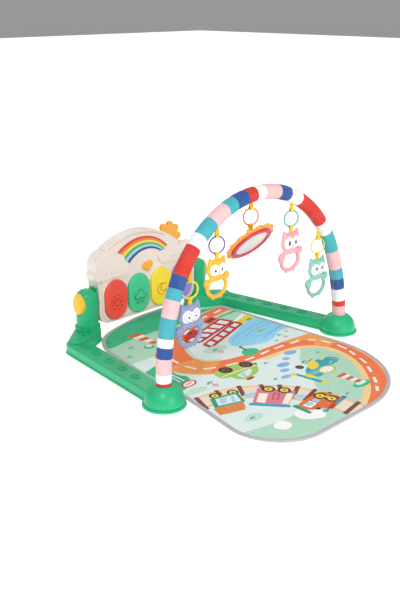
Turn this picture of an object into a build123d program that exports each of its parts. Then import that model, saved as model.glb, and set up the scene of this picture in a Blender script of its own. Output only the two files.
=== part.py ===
from build123d import *
import math
import os

os.makedirs("parts", exist_ok=True)

# ---------------------------------------------------------------------------
# Driving dimensions, millimetres.  X across the gym, +Y towards the piano
# panel, +Z up, origin on the floor under the middle of the whole assembly.
# ---------------------------------------------------------------------------

fit_gap = 0.3            # clearance between touching curved parts
running_gap = 0.05       # radial clearance of a turning shaft
screw_head_radius = 3.0

# columns that carry the panel
column_x = 201.0
column_y = 359.5
column_radius = 29.0
column_top = 144.0
column_bottom = 8.0
column_wall = 3.0
column_flat_x = 176.5    # flat face towards the panel
pivot_z = 108.0
pivot_radius = 14.0
pivot_length = 18.0

# rails on the floor
dome_x = 324.0
dome_y = column_y - 426.0
foot_radius = 34.5
knee_x = 272.0
knee_y = column_y - 45.0
knee_radius = 27.5
rail_half_width = 26.0
rail_height = 29.0
foot_height = 36.0
collar_radius = 33.5
collar_top = 45.0
rail_wall = 3.0
base_bottom = 1.5
base_top = 5.0
base_lip = 2.0
rail_floor = base_top + 0.1
rail_edge_radius = 5.0
emboss_height = 1.4
emboss_first = -85.0
emboss_pitch = -57.0
emboss_offsets = [emboss_first + i * emboss_pitch for i in range(5)]
pad_radius = 11.0

# domes that hold the arch
flange_radius = 50.5
flange_top = 6.5
dome_base_radius = 46.0
dome_shoulder = (39.0, 35.0)
dome_top_radius = 21.5
dome_height = 50.0
dome_wall = 3.0
dome_plate_radius = 44.0

# arch: straight legs, two long side arcs and one top arc, leaning back a little
arch_lean = 0.043
arc_start_z = 41.5
leg_depth = 30.0
side_arc_radius = 531.0
side_arc_angle = 21.0
tube_radius = 12.5
tube_wall = 2.0
sleeve_radius = 18.0
sleeve_bore = 12.9

# hanging toys: name, x of the loop, height of the ring centre
ring_major = 20.1
ring_wire = 1.9
ring_turn = 18.0         # degrees the rings are turned about the vertical
web_width = 10.0
web_inner = 2.8
web_thickness = 1.2
toy_spots = {
    "blue": (-232.0, 247.0),
    "yellow": (-142.0, 332.0),
    "mirror": (-26.0, 377.0),
    "pink": (123.0, 347.0),
    "mint": (231.0, 256.0),
}
owl_sizes = {"blue": 1.0, "yellow": 0.92, "pink": 1.0, "mint": 1.0}
owl_thickness = 15.0
handle_thickness = 11.0
web_tail = 15.0

# mirror toy
mirror_drop = 40.0       # below the wire at the bottom of its ring
mirror_tilt = 42.0       # degrees its face looks down from level
frame_radius = 60.0
frame_lobes = 14
lobe_radius = 9.0
frame_back = 4.0
frame_front = 3.0
bezel_outer = 54.0
bezel_inner = 44.0
glass_radius = 46.0
glass_thickness = 2.0
bezel_thickness = 5.0

# piano panel
panel_front_y = column_y - 20.0
panel_split_y = column_y + 2.0
panel_back_y = column_y + 25.0
panel_upper_back_y = column_y + 10.0
panel_half_width = 174.0
panel_bottom = 40.0
panel_corner = 30.0
panel_shoulder = 166.0
panel_wall = 2.5
crown_center = (-36.5, 57.0)
crown_radius = 218.0
crown_left = -150.0
crown_right = 112.0
cloud_depth = 5.0

# sun in the top of the panel
sun_center = (80.0, 232.0)
sun_radius = 36.0
sun_ray_radius = 10.0
sun_thickness = 9.0
sun_tail = 12.0
sun_back_y = panel_front_y + 12.0

# keys
key_xs = {"red": -121.0, "green": -41.0, "yellow": 41.0, "purple": 121.0}
key_z = 101.5
key_width = 75.0
key_height = 109.0
key_proud = 9.0
key_depth = 15.0
key_gap = 0.5
key_flange = 2.0
board_y = column_y - 7.5

# rainbow inlay, outer circle and inner circle of the six stripes
stripe_count = 6
stripe_fill = 0.93       # share of each stripe's width that is coloured
rainbow_outer = (-27.0, 122.0, 133.5)
rainbow_inner = (-5.0, 131.5, 85.5)
stripe_proud = 1.2

# play mat: corners as (x, distance in front of the column axes, radius)
mat_corners = (
    (266, 763, 270), (-345, 763, 125), (-268, 425, 200), (-251, 260, 400), (-206, 17, 160),
    (0, -40, 300), (164, -44.5, 35), (162, 38, 30), (243, 70, 25),
)
mat_thickness = 5.0
binding_width = 8.0
binding_thickness = 6.0


def save(part, label):
    """Name a finished part and write it to its own STEP file."""
    part.label = label
    export_step(part, f"parts/{label}.step")


def save_pair(part, label):
    """Write the right-hand part and its mirrored left-hand twin."""
    save(part, f"{label}_right")
    save(mirror(part, about=Plane.YZ), f"{label}_left")


def polar_points(radius, count):
    """Evenly spaced points on a circle."""
    step = 2 * math.pi / count
    return [Vector(radius * math.cos(i * step), radius * math.sin(i * step)) for i in range(count)]


def front_plane(y):
    """Plane facing the front of the gym, local axes X and Z."""
    return Plane(origin=(0, y, 0), x_dir=(1, 0, 0), z_dir=(0, -1, 0))


def slab(y, outline, depth):
    """Solid from a front-view outline, starting at a depth and running forwards."""
    return extrude(front_plane(y) * outline, amount=depth)


def hull_of_circles(*circles):
    """Convex outline round circles given as (x, y, radius), on the floor plane."""
    with BuildSketch(Plane.XY) as outline:
        for x, y, radius in circles:
            with Locations((x, y)):
                Circle(radius)
        make_hull()
    return outline.sketch


def rail_outline(grow):
    """Plan of the right rail: foot round the column, knee and straight bar."""
    foot = hull_of_circles(
        (column_x, column_y, foot_radius + grow),
        (knee_x, knee_y, knee_radius + grow),
    )
    bar = hull_of_circles(
        (knee_x, knee_y, knee_radius + grow),
        (dome_x, dome_y, rail_half_width + grow),
    )
    return foot + bar


def rail_axis_point(ahead):
    """Middle of the rail at a distance in front of the column axes."""
    share = (ahead - (knee_y - column_y)) / (dome_y - knee_y)
    return (knee_x + (dome_x - knee_x) * share, column_y + ahead)


# ---------------------------------------------------------------------------
# Domes
# ---------------------------------------------------------------------------

def dome_profile(grow, floor):
    """Turned outline of the dome, grown outwards by a distance."""
    with BuildSketch(Plane.XZ) as profile:
        with BuildLine():
            top = dome_height + grow
            Polyline(
                (dome_base_radius + grow, flange_top + grow),
                (flange_radius + grow, flange_top + grow - 1.0),
                (flange_radius + grow, floor),
                (0, floor),
                (0, top),
                (dome_top_radius + grow, top),
            )
            ThreePointArc(
                (dome_top_radius + grow, top),
                (dome_shoulder[0] + grow, dome_shoulder[1] + grow),
                (dome_base_radius + grow, flange_top + grow),
            )
        make_face()
    return profile.sketch


dome_here = Location((dome_x, dome_y, 0))
dome_envelope = revolve(dome_profile(fit_gap, 0), axis=Axis.Z).moved(dome_here)
dome_body = revolve(dome_profile(0, base_bottom), axis=Axis.Z).moved(dome_here)

with BuildPart() as dome_cavity:
    with BuildSketch(Plane.XZ):
        with BuildLine():
            cavity_top = dome_height - dome_wall
            inner_radius = dome_base_radius - dome_wall
            Polyline((dome_plate_radius + fit_gap, 0), (0, 0), (0, cavity_top), (16, cavity_top))
            ThreePointArc(
                (16, cavity_top),
                (dome_shoulder[0] - 3.0, dome_shoulder[1] - 3.0),
                (inner_radius, flange_top),
            )
            Polyline(
                (inner_radius, flange_top),
                (inner_radius, base_top + fit_gap),
                (dome_plate_radius + fit_gap, base_top + fit_gap),
                (dome_plate_radius + fit_gap, 0),
            )
        make_face()
    revolve(axis=Axis.Z)


def leg_plane(x, z):
    """Plane square to the leaning leg of the arch at a height."""
    y = dome_y + arch_lean * (z - arc_start_z)
    return Plane(origin=(x, y, z), x_dir=(1, 0, 0), z_dir=(0, arch_lean, 1))


socket_bottom = arc_start_z - leg_depth - 1.0
shelf_thickness = 4.0
base_passage = rail_outline(base_lip + fit_gap)
with BuildPart() as dome:
    add(dome_body)
    add(dome_cavity.part.moved(dome_here), mode=Mode.SUBTRACT)
    with BuildSketch(leg_plane(dome_x, base_top + fit_gap)):
        Circle(tube_radius + 4.0)
    extrude(amount=dome_height - base_top - dome_wall)
    with BuildSketch(leg_plane(dome_x, arc_start_z - shelf_thickness)):
        Circle(sleeve_radius + dome_wall)
    extrude(amount=shelf_thickness + 5.0)
    with BuildSketch(leg_plane(dome_x, socket_bottom)):
        Circle(tube_radius + fit_gap)
    extrude(amount=dome_height, mode=Mode.SUBTRACT)
    with BuildSketch(leg_plane(dome_x, arc_start_z - 0.5)):
        Circle(sleeve_radius + fit_gap)
    extrude(amount=dome_height, mode=Mode.SUBTRACT)
    # passage for the base plate that runs in under the dome
    add(base_passage)
    extrude(amount=rail_floor, mode=Mode.SUBTRACT)
save_pair(dome.part, "dome")


# ---------------------------------------------------------------------------
# Rails, their base plates, screws and grip pads
# ---------------------------------------------------------------------------

rail_angle = math.degrees(math.atan2(knee_x - dome_x, knee_y - dome_y))

rail_plan = rail_outline(0)
rail_cavity = extrude(rail_outline(-rail_wall), amount=rail_height - rail_wall)
socket_wall = Pos(column_x, column_y, 0) * Cylinder(column_radius + 2.6, 200)
foot_plan = hull_of_circles(
    (column_x, column_y, foot_radius),
    (knee_x - 2.0, knee_y + 2.0, knee_radius - 5.0),
)

with BuildPart() as rail_block:
    add(rail_plan)
    extrude(amount=rail_height)
    fillet(rail_block.faces().sort_by(Axis.Z)[-1].edges(), rail_edge_radius)

with BuildPart() as foot_block:
    add(foot_plan)
    extrude(amount=foot_height)
    fillet(foot_block.faces().sort_by(Axis.Z)[-1].edges(), rail_edge_radius)

with BuildPart() as rail:
    add(rail_block.part)
    add(foot_block.part)
    # collar that holds the column, with a small lug on its front
    with BuildSketch(Plane.XY):
        with Locations((column_x, column_y)):
            Circle(collar_radius)
        with Locations((column_x + 12.0, column_y - collar_radius + 2.0)):
            RectangleRounded(16, 12, 3)
    extrude(amount=collar_top)
    # floor side of the block
    with BuildSketch(Plane.XY):
        Rectangle(1000, 1000)
    extrude(amount=rail_floor, mode=Mode.SUBTRACT)
    # hollow underside, leaving a wall round the column socket
    add(rail_cavity - socket_wall, mode=Mode.SUBTRACT)
    # column socket
    with BuildSketch(Plane.XY.offset(column_bottom)):
        with Locations((column_x, column_y)):
            Circle(column_radius + fit_gap)
    extrude(amount=200, mode=Mode.SUBTRACT)
    # small slot on top of the foot
    with BuildSketch(Plane.XY.offset(foot_height - 2.0)):
        with Locations(Location((column_x + 42.0, column_y - 34.0, 0), (0, 0, -30))):
            SlotOverall(9, 3)
    extrude(amount=5, mode=Mode.SUBTRACT)
    # raised badges along the top
    for ahead in emboss_offsets:
        x, y = rail_axis_point(ahead)
        with BuildSketch(Plane.XY.offset(rail_height)):
            with Locations(Location((x, y, 0), (0, 0, 90 - rail_angle))):
                Ellipse(14, 9)
                Ellipse(11.5, 6.5, mode=Mode.SUBTRACT)
                Circle(3)
        extrude(amount=emboss_height)
    add(dome_envelope, mode=Mode.SUBTRACT)
save_pair(rail.part, "rail")

screw_offsets = (-60.0, -180.0, -300.0)
screw_spots = [rail_axis_point(ahead) for ahead in screw_offsets]
pad_spots = [rail_axis_point(ahead) for ahead in (-110.0, -240.0)]
pad_spots = pad_spots + [(column_x, column_y), (dome_x, dome_y)]
base_outline = rail_outline(base_lip)
plate_disc = Pos(dome_x, dome_y) * Circle(dome_plate_radius)

with BuildPart() as rail_base:
    add(base_outline + plate_disc)
    extrude(amount=base_top)
    with BuildSketch(Plane.XY):
        Rectangle(1000, 1000)
    extrude(amount=base_bottom, mode=Mode.SUBTRACT)
    with BuildSketch(Plane.XY):
        with Locations(*screw_spots):
            Circle(screw_head_radius + fit_gap)
    extrude(amount=base_bottom + 2.0, mode=Mode.SUBTRACT)
save_pair(rail_base.part, "rail_base")

with BuildPart() as base_screws:
    for x, y in screw_spots:
        with BuildSketch(Plane.XY.offset(base_bottom + 0.2)):
            with Locations((x, y), (-x, y)):
                Circle(screw_head_radius)
                RectangleRounded(1.0, 4.0, 0.3, mode=Mode.SUBTRACT)
        extrude(amount=1.6)
save(base_screws.part, "base_screws")

with BuildPart() as grip_pads:
    for x, y in pad_spots:
        with BuildSketch(Plane.XY):
            with Locations((x, y), (-x, y)):
                Circle(pad_radius)
        extrude(amount=base_bottom)
save(grip_pads.part, "grip_pads")


# ---------------------------------------------------------------------------
# Columns, release buttons and springs
# ---------------------------------------------------------------------------

def rounded_column(radius, bottom, top):
    """Upright cylinder with a rounded top."""
    with BuildPart() as post:
        with BuildSketch(Plane.XY.offset(bottom)):
            Circle(radius)
        extrude(amount=top - bottom)
        fillet(post.faces().sort_by(Axis.Z)[-1].edges(), radius * 0.86)
    return post.part


def side_plane(x):
    """Plane square to X, local axes Y and Z, facing +X."""
    return Plane(origin=(x, column_y, 0), x_dir=(0, 1, 0), z_dir=(1, 0, 0))


button_half_width = 21.0
button_half_height = 28.0
button_inner_x = column_x + 12.0
button_outer_x = column_x + 33.0
spring_coil_radius = 5.0
spring_wire_radius = 0.6

column_here = Location((column_x, column_y, 0))
column_block = rounded_column(column_radius, column_bottom, column_top).moved(column_here)
column_cavity = rounded_column(
    column_radius - column_wall, column_bottom - 1.0, column_top - column_wall
).moved(column_here)

with BuildPart() as column:
    add(column_block)
    # hollow inside, open at the bottom
    add(column_cavity, mode=Mode.SUBTRACT)
    # flat inner side that faces the panel, with its own wall
    with BuildSketch(side_plane(column_flat_x)):
        with Locations((0, (column_top + column_bottom) / 2)):
            Rectangle(30, column_top - column_bottom)
        with Locations((0, pivot_z)):
            Circle(20)
    extrude(amount=column_wall)
    with BuildSketch(side_plane(column_flat_x)):
        Rectangle(200, 400)
    extrude(amount=-60, mode=Mode.SUBTRACT)
    # bearing hole for the panel pivot
    with BuildSketch(side_plane(column_flat_x)):
        with Locations((0, pivot_z)):
            Circle(pivot_radius + running_gap)
    extrude(amount=column_wall, mode=Mode.SUBTRACT)
    # oval window for the release button
    with BuildSketch(side_plane(column_x)):
        with Locations((0, pivot_z)):
            Ellipse(button_half_width + 0.4, button_half_height + 0.4)
    extrude(amount=60, mode=Mode.SUBTRACT)
save_pair(column.part, "column")

with BuildPart() as lock_button:
    with BuildSketch(side_plane(button_inner_x)):
        with Locations((0, pivot_z)):
            Ellipse(button_half_width, button_half_height)
    extrude(amount=button_outer_x - button_inner_x)
    fillet(lock_button.faces().sort_by(Axis.X)[-1].edges(), 7)
    with BuildSketch(side_plane(button_inner_x)):
        with Locations((0, pivot_z)):
            Circle(spring_coil_radius + 1.5)
    extrude(amount=3, mode=Mode.SUBTRACT)
save_pair(lock_button.part, "lock_button")

gear_root_radius = 17.5
gear_teeth = 12
gear_start_x = column_flat_x + 10.5
gear_thickness = 4.0
with BuildPart() as lock_gear:
    with BuildSketch(side_plane(gear_start_x)):
        with Locations((0, pivot_z)):
            Circle(gear_root_radius)
            with PolarLocations(gear_root_radius, gear_teeth):
                Circle(2.2)
            Circle(pivot_radius + fit_gap, mode=Mode.SUBTRACT)
    extrude(amount=gear_thickness)
save_pair(lock_gear.part, "lock_gear")

spring_start_x = column_flat_x + pivot_length + 1.0
spring_end_x = button_inner_x - 0.3
spring_turns = 7
with BuildPart() as lock_spring:
    for turn in range(spring_turns):
        share = (turn + 0.5) / spring_turns
        x = spring_start_x + (spring_end_x - spring_start_x) * share
        with BuildSketch(Plane.XY.offset(pivot_z)):
            with Locations((x, column_y + spring_coil_radius)):
                Circle(spring_wire_radius)
        revolve(axis=Axis((x, column_y, pivot_z), (1, 0, 0)))
    with BuildSketch(side_plane(spring_start_x)):
        with Locations((0, pivot_z + spring_coil_radius)):
            Rectangle(0.8, 0.8)
    extrude(amount=spring_end_x - spring_start_x)
save_pair(lock_spring.part, "lock_spring")


# ---------------------------------------------------------------------------
# Arch: hollow tube in three lengths, two joining plugs and a padded sleeve
# ---------------------------------------------------------------------------

arch_plane = Plane(
    origin=(0, dome_y, arc_start_z), x_dir=(1, 0, 0), z_dir=(0, -1, arch_lean)
)
side_center_x = side_arc_radius - dome_x
side_angle = math.radians(side_arc_angle)
top_arc_radius = side_arc_radius - side_center_x / math.cos(side_angle)
top_center_height = side_center_x * math.tan(side_angle)


def side_arc_point(angle):
    """Point of the right side arc at an angle in degrees, in the arch plane."""
    turn = math.radians(angle)
    return (
        side_arc_radius * math.cos(turn) - side_center_x,
        side_arc_radius * math.sin(turn),
    )


def top_arc_point(angle):
    """Point of the top arc at an angle in degrees from the right."""
    turn = math.radians(angle)
    return (
        top_arc_radius * math.cos(turn),
        top_center_height + top_arc_radius * math.sin(turn),
    )


def arc_through(point_at, start, end):
    """Path in the arch plane along one of the arcs."""
    with BuildLine(arch_plane) as path:
        ThreePointArc(point_at(start), point_at((start + end) / 2), point_at(end))
    return path.line


def swept_tube(path, outer, inner):
    """Round tube along a path; inner radius 0 gives a solid bar."""
    start = Plane(origin=path @ 0, z_dir=path % 0)
    with BuildPart() as tube:
        with BuildSketch(start):
            Circle(outer)
            if inner > 0:
                Circle(inner, mode=Mode.SUBTRACT)
        sweep(path=path)
    return tube.part


with BuildLine(arch_plane) as leg_path:
    Line((dome_x, -leg_depth), side_arc_point(0))
    ThreePointArc(
        side_arc_point(0), side_arc_point(side_arc_angle / 2), side_arc_point(side_arc_angle)
    )
save_pair(swept_tube(leg_path.line, tube_radius, tube_radius - tube_wall), "arch_tube")

crown_path = arc_through(top_arc_point, side_arc_angle, 180 - side_arc_angle)
save(swept_tube(crown_path, tube_radius, tube_radius - tube_wall), "arch_tube_top")

plug_radius = tube_radius - tube_wall - 0.1
plug_angle = 4.0
plug_path = arc_through(top_arc_point, side_arc_angle + 0.2, side_arc_angle + plug_angle)
plug = swept_tube(plug_path, plug_radius, 0)
with BuildPart() as arch_plugs:
    add(plug)
    add(mirror(plug, about=Plane.YZ))
save(arch_plugs.part, "arch_plugs")


with BuildLine(arch_plane) as side_path:
    ThreePointArc(
        side_arc_point(0), side_arc_point(side_arc_angle / 2), side_arc_point(side_arc_angle)
    )
save_pair(swept_tube(side_path.line, sleeve_radius, sleeve_bore), "sleeve")
save(swept_tube(crown_path, sleeve_radius, sleeve_bore), "sleeve_top")
sleeve_envelope = swept_tube(crown_path, sleeve_radius + 0.1, 0)


# ---------------------------------------------------------------------------
# Hanging toys: web loops, rings, web tails
# ---------------------------------------------------------------------------

turn_angle = math.radians(ring_turn)
wire_direction = Vector(math.cos(turn_angle), -math.sin(turn_angle), 0)
ring_normal = Vector(-math.sin(turn_angle), -math.cos(turn_angle), 0)


def arch_y(z):
    """Depth of the leaning arch plane at a height."""
    return dome_y + arch_lean * (z - arc_start_z)


def sleeve_underside(x):
    """Height of the inner face of the sleeve above a point of the floor."""
    radius = top_arc_radius - sleeve_radius
    return arc_start_z + top_center_height + math.sqrt(radius ** 2 - x ** 2)


toy_y = {name: arch_y(sleeve_underside(x)) for name, (x, z) in toy_spots.items()}


def wire_plane(origin):
    """Plane square to the ring wire, local axes across the web and up."""
    return Plane(origin=origin, x_dir=-ring_normal, z_dir=wire_direction)


def web_band(wire_point, reach, grow):
    """Flat web folded round the ring wire and reaching up or down."""
    outer = web_inner + web_thickness + grow
    with BuildPart() as band:
        with BuildSketch(wire_plane(wire_point)):
            Circle(outer)
            with Locations((0, reach / 2)):
                Rectangle(2 * outer, abs(reach))
            if grow == 0:
                Circle(web_inner, mode=Mode.SUBTRACT)
                with Locations((0, reach / 2)):
                    Rectangle(1.2, abs(reach) + 1.0, mode=Mode.SUBTRACT)
        extrude(amount=web_width / 2 + grow, both=True)
    return band.part


ring_tops = {}
ring_feet = {}
for name, (x, z) in toy_spots.items():
    ring_tops[name] = Vector(x, toy_y[name], z + ring_major)
    ring_feet[name] = Vector(x, toy_y[name], z - ring_major)

loop_bands = []
for name, (x, z) in toy_spots.items():
    height = sleeve_underside(x) - z - ring_major + sleeve_radius
    loop_bands.append(web_band(ring_tops[name], height, 0) - sleeve_envelope)

with BuildPart() as arch_loops:
    add(loop_bands)
save(arch_loops.part, "arch_loops")

for name, (x, z) in toy_spots.items():
    with BuildPart() as ring:
        with Locations(Plane(origin=(x, toy_y[name], z), z_dir=ring_normal)):
            Torus(ring_major, ring_wire)
    save(ring.part, f"ring_{name}")
    save(web_band(ring_feet[name], -web_tail, 0), f"tail_{name}")


# ---------------------------------------------------------------------------
# Owls
# ---------------------------------------------------------------------------

def owl_outline():
    """Front view of an owl with its ring handle, below its hanging point."""
    with BuildSketch(Plane.XY) as outline:
        with Locations((0, -38)):
            Ellipse(33, 27)
        for side in (-1, 1):
            Polygon((side * 6, -14), (side * 24, -2), (side * 32, -32), align=None)
            with Locations((side * 36, -67)):
                Ellipse(9, 12)
        with Locations((0, -86)):
            Ellipse(38, 30)
            Ellipse(27, 20, mode=Mode.SUBTRACT)
        with Locations((-13, -115), (15, -114)):
            Circle(4)
    return outline.sketch


def owl_body(scale_factor):
    """Owl rattle with its ring handle, hanging point at the origin, facing -Y."""
    handle = handle_thickness * scale_factor
    head = owl_thickness * scale_factor
    cheeks = Pos(0, -38 * scale_factor) * Ellipse(31 * scale_factor, 25 * scale_factor)
    flat = slab(handle / 2, scale(owl_outline(), by=scale_factor), handle)
    return flat + slab(head / 2, cheeks, head)


for name, scale_factor in owl_sizes.items():
    here = Location(ring_feet[name])
    tail_room = web_band(ring_feet[name], -web_tail, fit_gap)
    save(owl_body(scale_factor).moved(here) - tail_room, f"owl_{name}")


# ---------------------------------------------------------------------------
# Mirror toy
# ---------------------------------------------------------------------------

tilt = math.radians(mirror_tilt)
mirror_normal = Vector(0, -math.cos(tilt), -math.sin(tilt))
mirror_center = ring_feet["mirror"] - Vector(0, 0, mirror_drop)
mirror_plane = Plane(origin=mirror_center, x_dir=(1, 0, 0), z_dir=mirror_normal)
lug_height = mirror_drop - web_tail + 4.0
mirror_tail_room = web_band(ring_feet["mirror"], -web_tail, fit_gap)

with BuildPart() as mirror_frame:
    with BuildSketch(mirror_plane.offset(-frame_back)):
        Circle(frame_radius)
        with PolarLocations(frame_radius - 3.0, frame_lobes):
            Circle(lobe_radius)
    extrude(amount=frame_back + frame_front)
    # lug on the back that takes the web tail
    with BuildSketch(Plane(origin=mirror_center, x_dir=(1, 0, 0))):
        RectangleRounded(18, 12, 3)
    extrude(amount=lug_height)
    with BuildSketch(mirror_plane.offset(-frame_back)):
        Circle(frame_radius + 20)
    extrude(amount=60, mode=Mode.SUBTRACT)
    with BuildSketch(mirror_plane.offset(-frame_back)):
        Circle(frame_radius)
        with PolarLocations(frame_radius - 3.0, frame_lobes):
            Circle(lobe_radius)
    extrude(amount=frame_back + frame_front)
    add(mirror_tail_room, mode=Mode.SUBTRACT)
save(mirror_frame.part, "mirror_frame")

with BuildPart() as mirror_bezel:
    with BuildSketch(mirror_plane.offset(frame_front)):
        Circle(bezel_outer)
        Circle(bezel_inner, mode=Mode.SUBTRACT)
    extrude(amount=bezel_thickness)
    with BuildSketch(mirror_plane.offset(frame_front)):
        Circle(glass_radius + fit_gap)
    extrude(amount=glass_thickness + 0.1, mode=Mode.SUBTRACT)
save(mirror_bezel.part, "mirror_bezel")

with BuildPart() as mirror_glass:
    with BuildSketch(mirror_plane.offset(frame_front)):
        Circle(glass_radius)
    extrude(amount=glass_thickness)
save(mirror_glass.part, "mirror_glass")


# ---------------------------------------------------------------------------
# Piano panel shells
# ---------------------------------------------------------------------------

left_cloud = (
    (-178, 178, 15), (-152, 203, 36.5), (-112, 200, 26), (-88, 181, 19), (-130, 185, 22),
)
right_cloud = (
    (52, 187, 18), (84, 195, 22), (122, 186, 24), (166, 185, 22), (100, 186, 20), (145, 186, 22),
)


def cloud_outline(puffs, floor_z, grow):
    """Cloud with a flat underside, made of round puffs (x, z, radius)."""
    left = min(x for x, z, radius in puffs)
    right = max(x for x, z, radius in puffs)
    middle_z = min(z for x, z, radius in puffs)
    with BuildSketch(Plane.XY) as cloud:
        for x, z, radius in puffs:
            with Locations((x, z)):
                Circle(radius + grow)
        with Locations(((left + right) / 2, (floor_z + middle_z) / 2)):
            Rectangle(right - left, middle_z - floor_z + 2 * grow)
        with Locations((0, floor_z - grow - 100)):
            Rectangle(1000, 200, mode=Mode.SUBTRACT)
    return cloud.sketch


def lower_outline(grow):
    """Lower box of the panel with rounded bottom corners."""
    with BuildSketch(Plane.XY) as box:
        with Locations((0, (panel_bottom + panel_shoulder) / 2 + 20)):
            RectangleRounded(
                2 * (panel_half_width + grow),
                panel_shoulder - panel_bottom + 40 + 2 * grow,
                panel_corner + grow,
            )
        with Locations((0, panel_shoulder + grow + 50)):
            Rectangle(1000, 100, mode=Mode.SUBTRACT)
    return box.sketch


def crown_outline(grow):
    """Curved top of the panel above the lower box."""
    with BuildSketch(Plane.XY) as crown:
        with Locations(crown_center):
            Circle(crown_radius + grow)
        with Locations(((crown_left + crown_right) / 2, panel_shoulder + 75)):
            Rectangle(crown_right - crown_left + 2 * grow, 170, mode=Mode.INTERSECT)
    return crown.sketch


def panel_outline(grow):
    """Whole front view of the panel, grown outwards by a distance."""
    outline = lower_outline(grow) + crown_outline(grow)
    outline = outline + cloud_outline(left_cloud, 163, grow)
    return outline + cloud_outline(right_cloud, 166, grow)


def slot_outline(x, z, grow):
    """Tall stadium outline of a piano key."""
    return Pos(x, z) * Rotation(0, 0, 90) * SlotOverall(key_height + 2 * grow, key_width + 2 * grow)


def heart_outline(grow):
    """Rounded heart of the small melody button."""
    lobes = Pos(-8.5, 3.5) * Circle(9.5 + grow) + Pos(8.5, 3.5) * Circle(9.5 + grow)
    tip = Pos(0, -11) * Circle(3 + grow)
    with BuildSketch(Plane.XY) as heart:
        add(lobes)
        add(tip)
        make_hull()
    notch = Pos(0, 16 + grow) * Circle(4.5)
    return Pos(-5, 169) * Rotation(0, 0, 8) * (heart.sketch - notch)


front_holes = [slot_outline(x, key_z, key_gap) for x in key_xs.values()]
front_holes = front_holes + [heart_outline(key_gap)]
rims = [slot_outline(x, key_z, key_gap + 2.0) for x in key_xs.values()]
clouds = cloud_outline(left_cloud, 163, -0.5) + cloud_outline(right_cloud, 166, -0.5)
panel_plan = panel_outline(0)
panel_inside = panel_outline(-panel_wall)
box_plan = lower_outline(0)
box_inside = lower_outline(-panel_wall)


def sun_outline(grow):
    """Scalloped sun that sits in a slot in the top of the panel."""
    rays = [Pos(p.X, p.Y) * Circle(sun_ray_radius + grow) for p in polar_points(sun_radius, 9)]
    return Pos(*sun_center) * (Circle(sun_radius + grow) + rays)


sun_badge = slab(sun_back_y, sun_outline(0) - panel_outline(-sun_tail), sun_thickness)
save(sun_badge, "sun_badge")
sun_slot = slab(sun_back_y + fit_gap, sun_outline(fit_gap), sun_thickness + 2 * fit_gap)

front_depth = panel_split_y - panel_front_y
front_shell = slab(panel_split_y, panel_plan, front_depth)
front_shell = front_shell - slab(panel_split_y, panel_inside, front_depth - panel_wall)
front_shell = front_shell + slab(panel_front_y, clouds, cloud_depth)
for rim in rims:
    front_shell = front_shell + slab(panel_front_y, rim, 1.2)
for hole in front_holes:
    front_shell = front_shell - slab(panel_split_y, hole, 60)
front_shell = front_shell - sun_slot

with BuildPart() as panel_front:
    add(front_shell)
    # pivots that turn in the columns
    for side in (-1, 1):
        start = side * panel_half_width
        with BuildSketch(side_plane(start)):
            with Locations((0, pivot_z)):
                Circle(pivot_radius)
                Circle(pivot_radius - 3.0, mode=Mode.SUBTRACT)
        extrude(amount=side * (column_flat_x + pivot_length - panel_half_width))
save(panel_front.part, "panel_front")


# ---------------------------------------------------------------------------
# Back of the panel: shell, battery bay and door, screws, switch
# ---------------------------------------------------------------------------

battery_count = 3
battery_radius = 7.2
battery_length = 50.0
battery_pitch = 15.6
battery_z = 70.0
battery_y = column_y + 13.5
bay_width = 62.0
bay_height = battery_count * battery_pitch + 6.0
bay_z = battery_z + battery_pitch
door_thickness = 2.5
door_gap = 0.2
switch_x = 70.0
switch_z = 130.0
switch_travel = 6.0
panel_screw_spots = (
    (-155.0, 62.0), (155.0, 62.0), (-155.0, 150.0), (155.0, 150.0), (0.0, 49.0),
)


def bay_outline(grow):
    """Rear view of the battery bay."""
    return Pos(0, bay_z) * RectangleRounded(bay_width + 2 * grow, bay_height + 2 * grow, 4 + grow)


bay_wall = bay_outline(2.0)
bay_room = bay_outline(0)
door_plan = bay_outline(-door_gap)

upper_depth = panel_upper_back_y - panel_split_y
lower_depth = panel_back_y - panel_split_y
back_shell = slab(panel_upper_back_y, panel_plan, upper_depth)
back_shell = back_shell + slab(panel_back_y, box_plan, lower_depth)
back_shell = back_shell - slab(panel_upper_back_y - panel_wall, panel_inside, 60)
back_shell = back_shell - slab(panel_back_y - panel_wall, box_inside, 60)
back_shell = back_shell + slab(panel_back_y, bay_wall, lower_depth - 2.0)
back_shell = back_shell - slab(panel_back_y + 1.0, bay_room, lower_depth - 3.0)

with BuildPart() as panel_back:
    add(back_shell)
    # seat of the switch slider
    with BuildSketch(front_plane(panel_back_y + 1.0)):
        with Locations((switch_x, switch_z)):
            Rectangle(switch_travel + 8.6, 8.6)
    extrude(amount=1.0 + panel_wall + 1.0, mode=Mode.SUBTRACT)
    # sound holes over the loudspeaker
    with BuildSketch(front_plane(panel_upper_back_y + 1.0)):
        with Locations((-10.0, 205.0)):
            for ring_radius, count in ((7.0, 6), (14.0, 12)):
                with PolarLocations(ring_radius, count):
                    Circle(2.0)
    extrude(amount=1.0 + panel_wall + 1.0, mode=Mode.SUBTRACT)
    # screw wells
    with BuildSketch(front_plane(panel_back_y + 1.0)):
        with Locations(*panel_screw_spots):
            Circle(screw_head_radius + fit_gap)
    extrude(amount=1.0 + panel_wall + 1.0, mode=Mode.SUBTRACT)
save(panel_back.part, "panel_back")

door_groove = Pos(0, bay_z + bay_height / 2 - 8.0) * SlotOverall(18, 4)
battery_door = slab(panel_back_y + 0.5, door_plan, door_thickness)
battery_door = battery_door - slab(panel_back_y + 1.0, door_groove, 1.5)
save(battery_door, "battery_door")

with BuildPart() as batteries:
    for index in range(battery_count):
        z = battery_z + index * battery_pitch
        with BuildSketch(Plane(origin=(0, battery_y, z), z_dir=(1, 0, 0))):
            Circle(battery_radius)
        extrude(amount=battery_length / 2, both=True)
save(batteries.part, "batteries")

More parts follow.
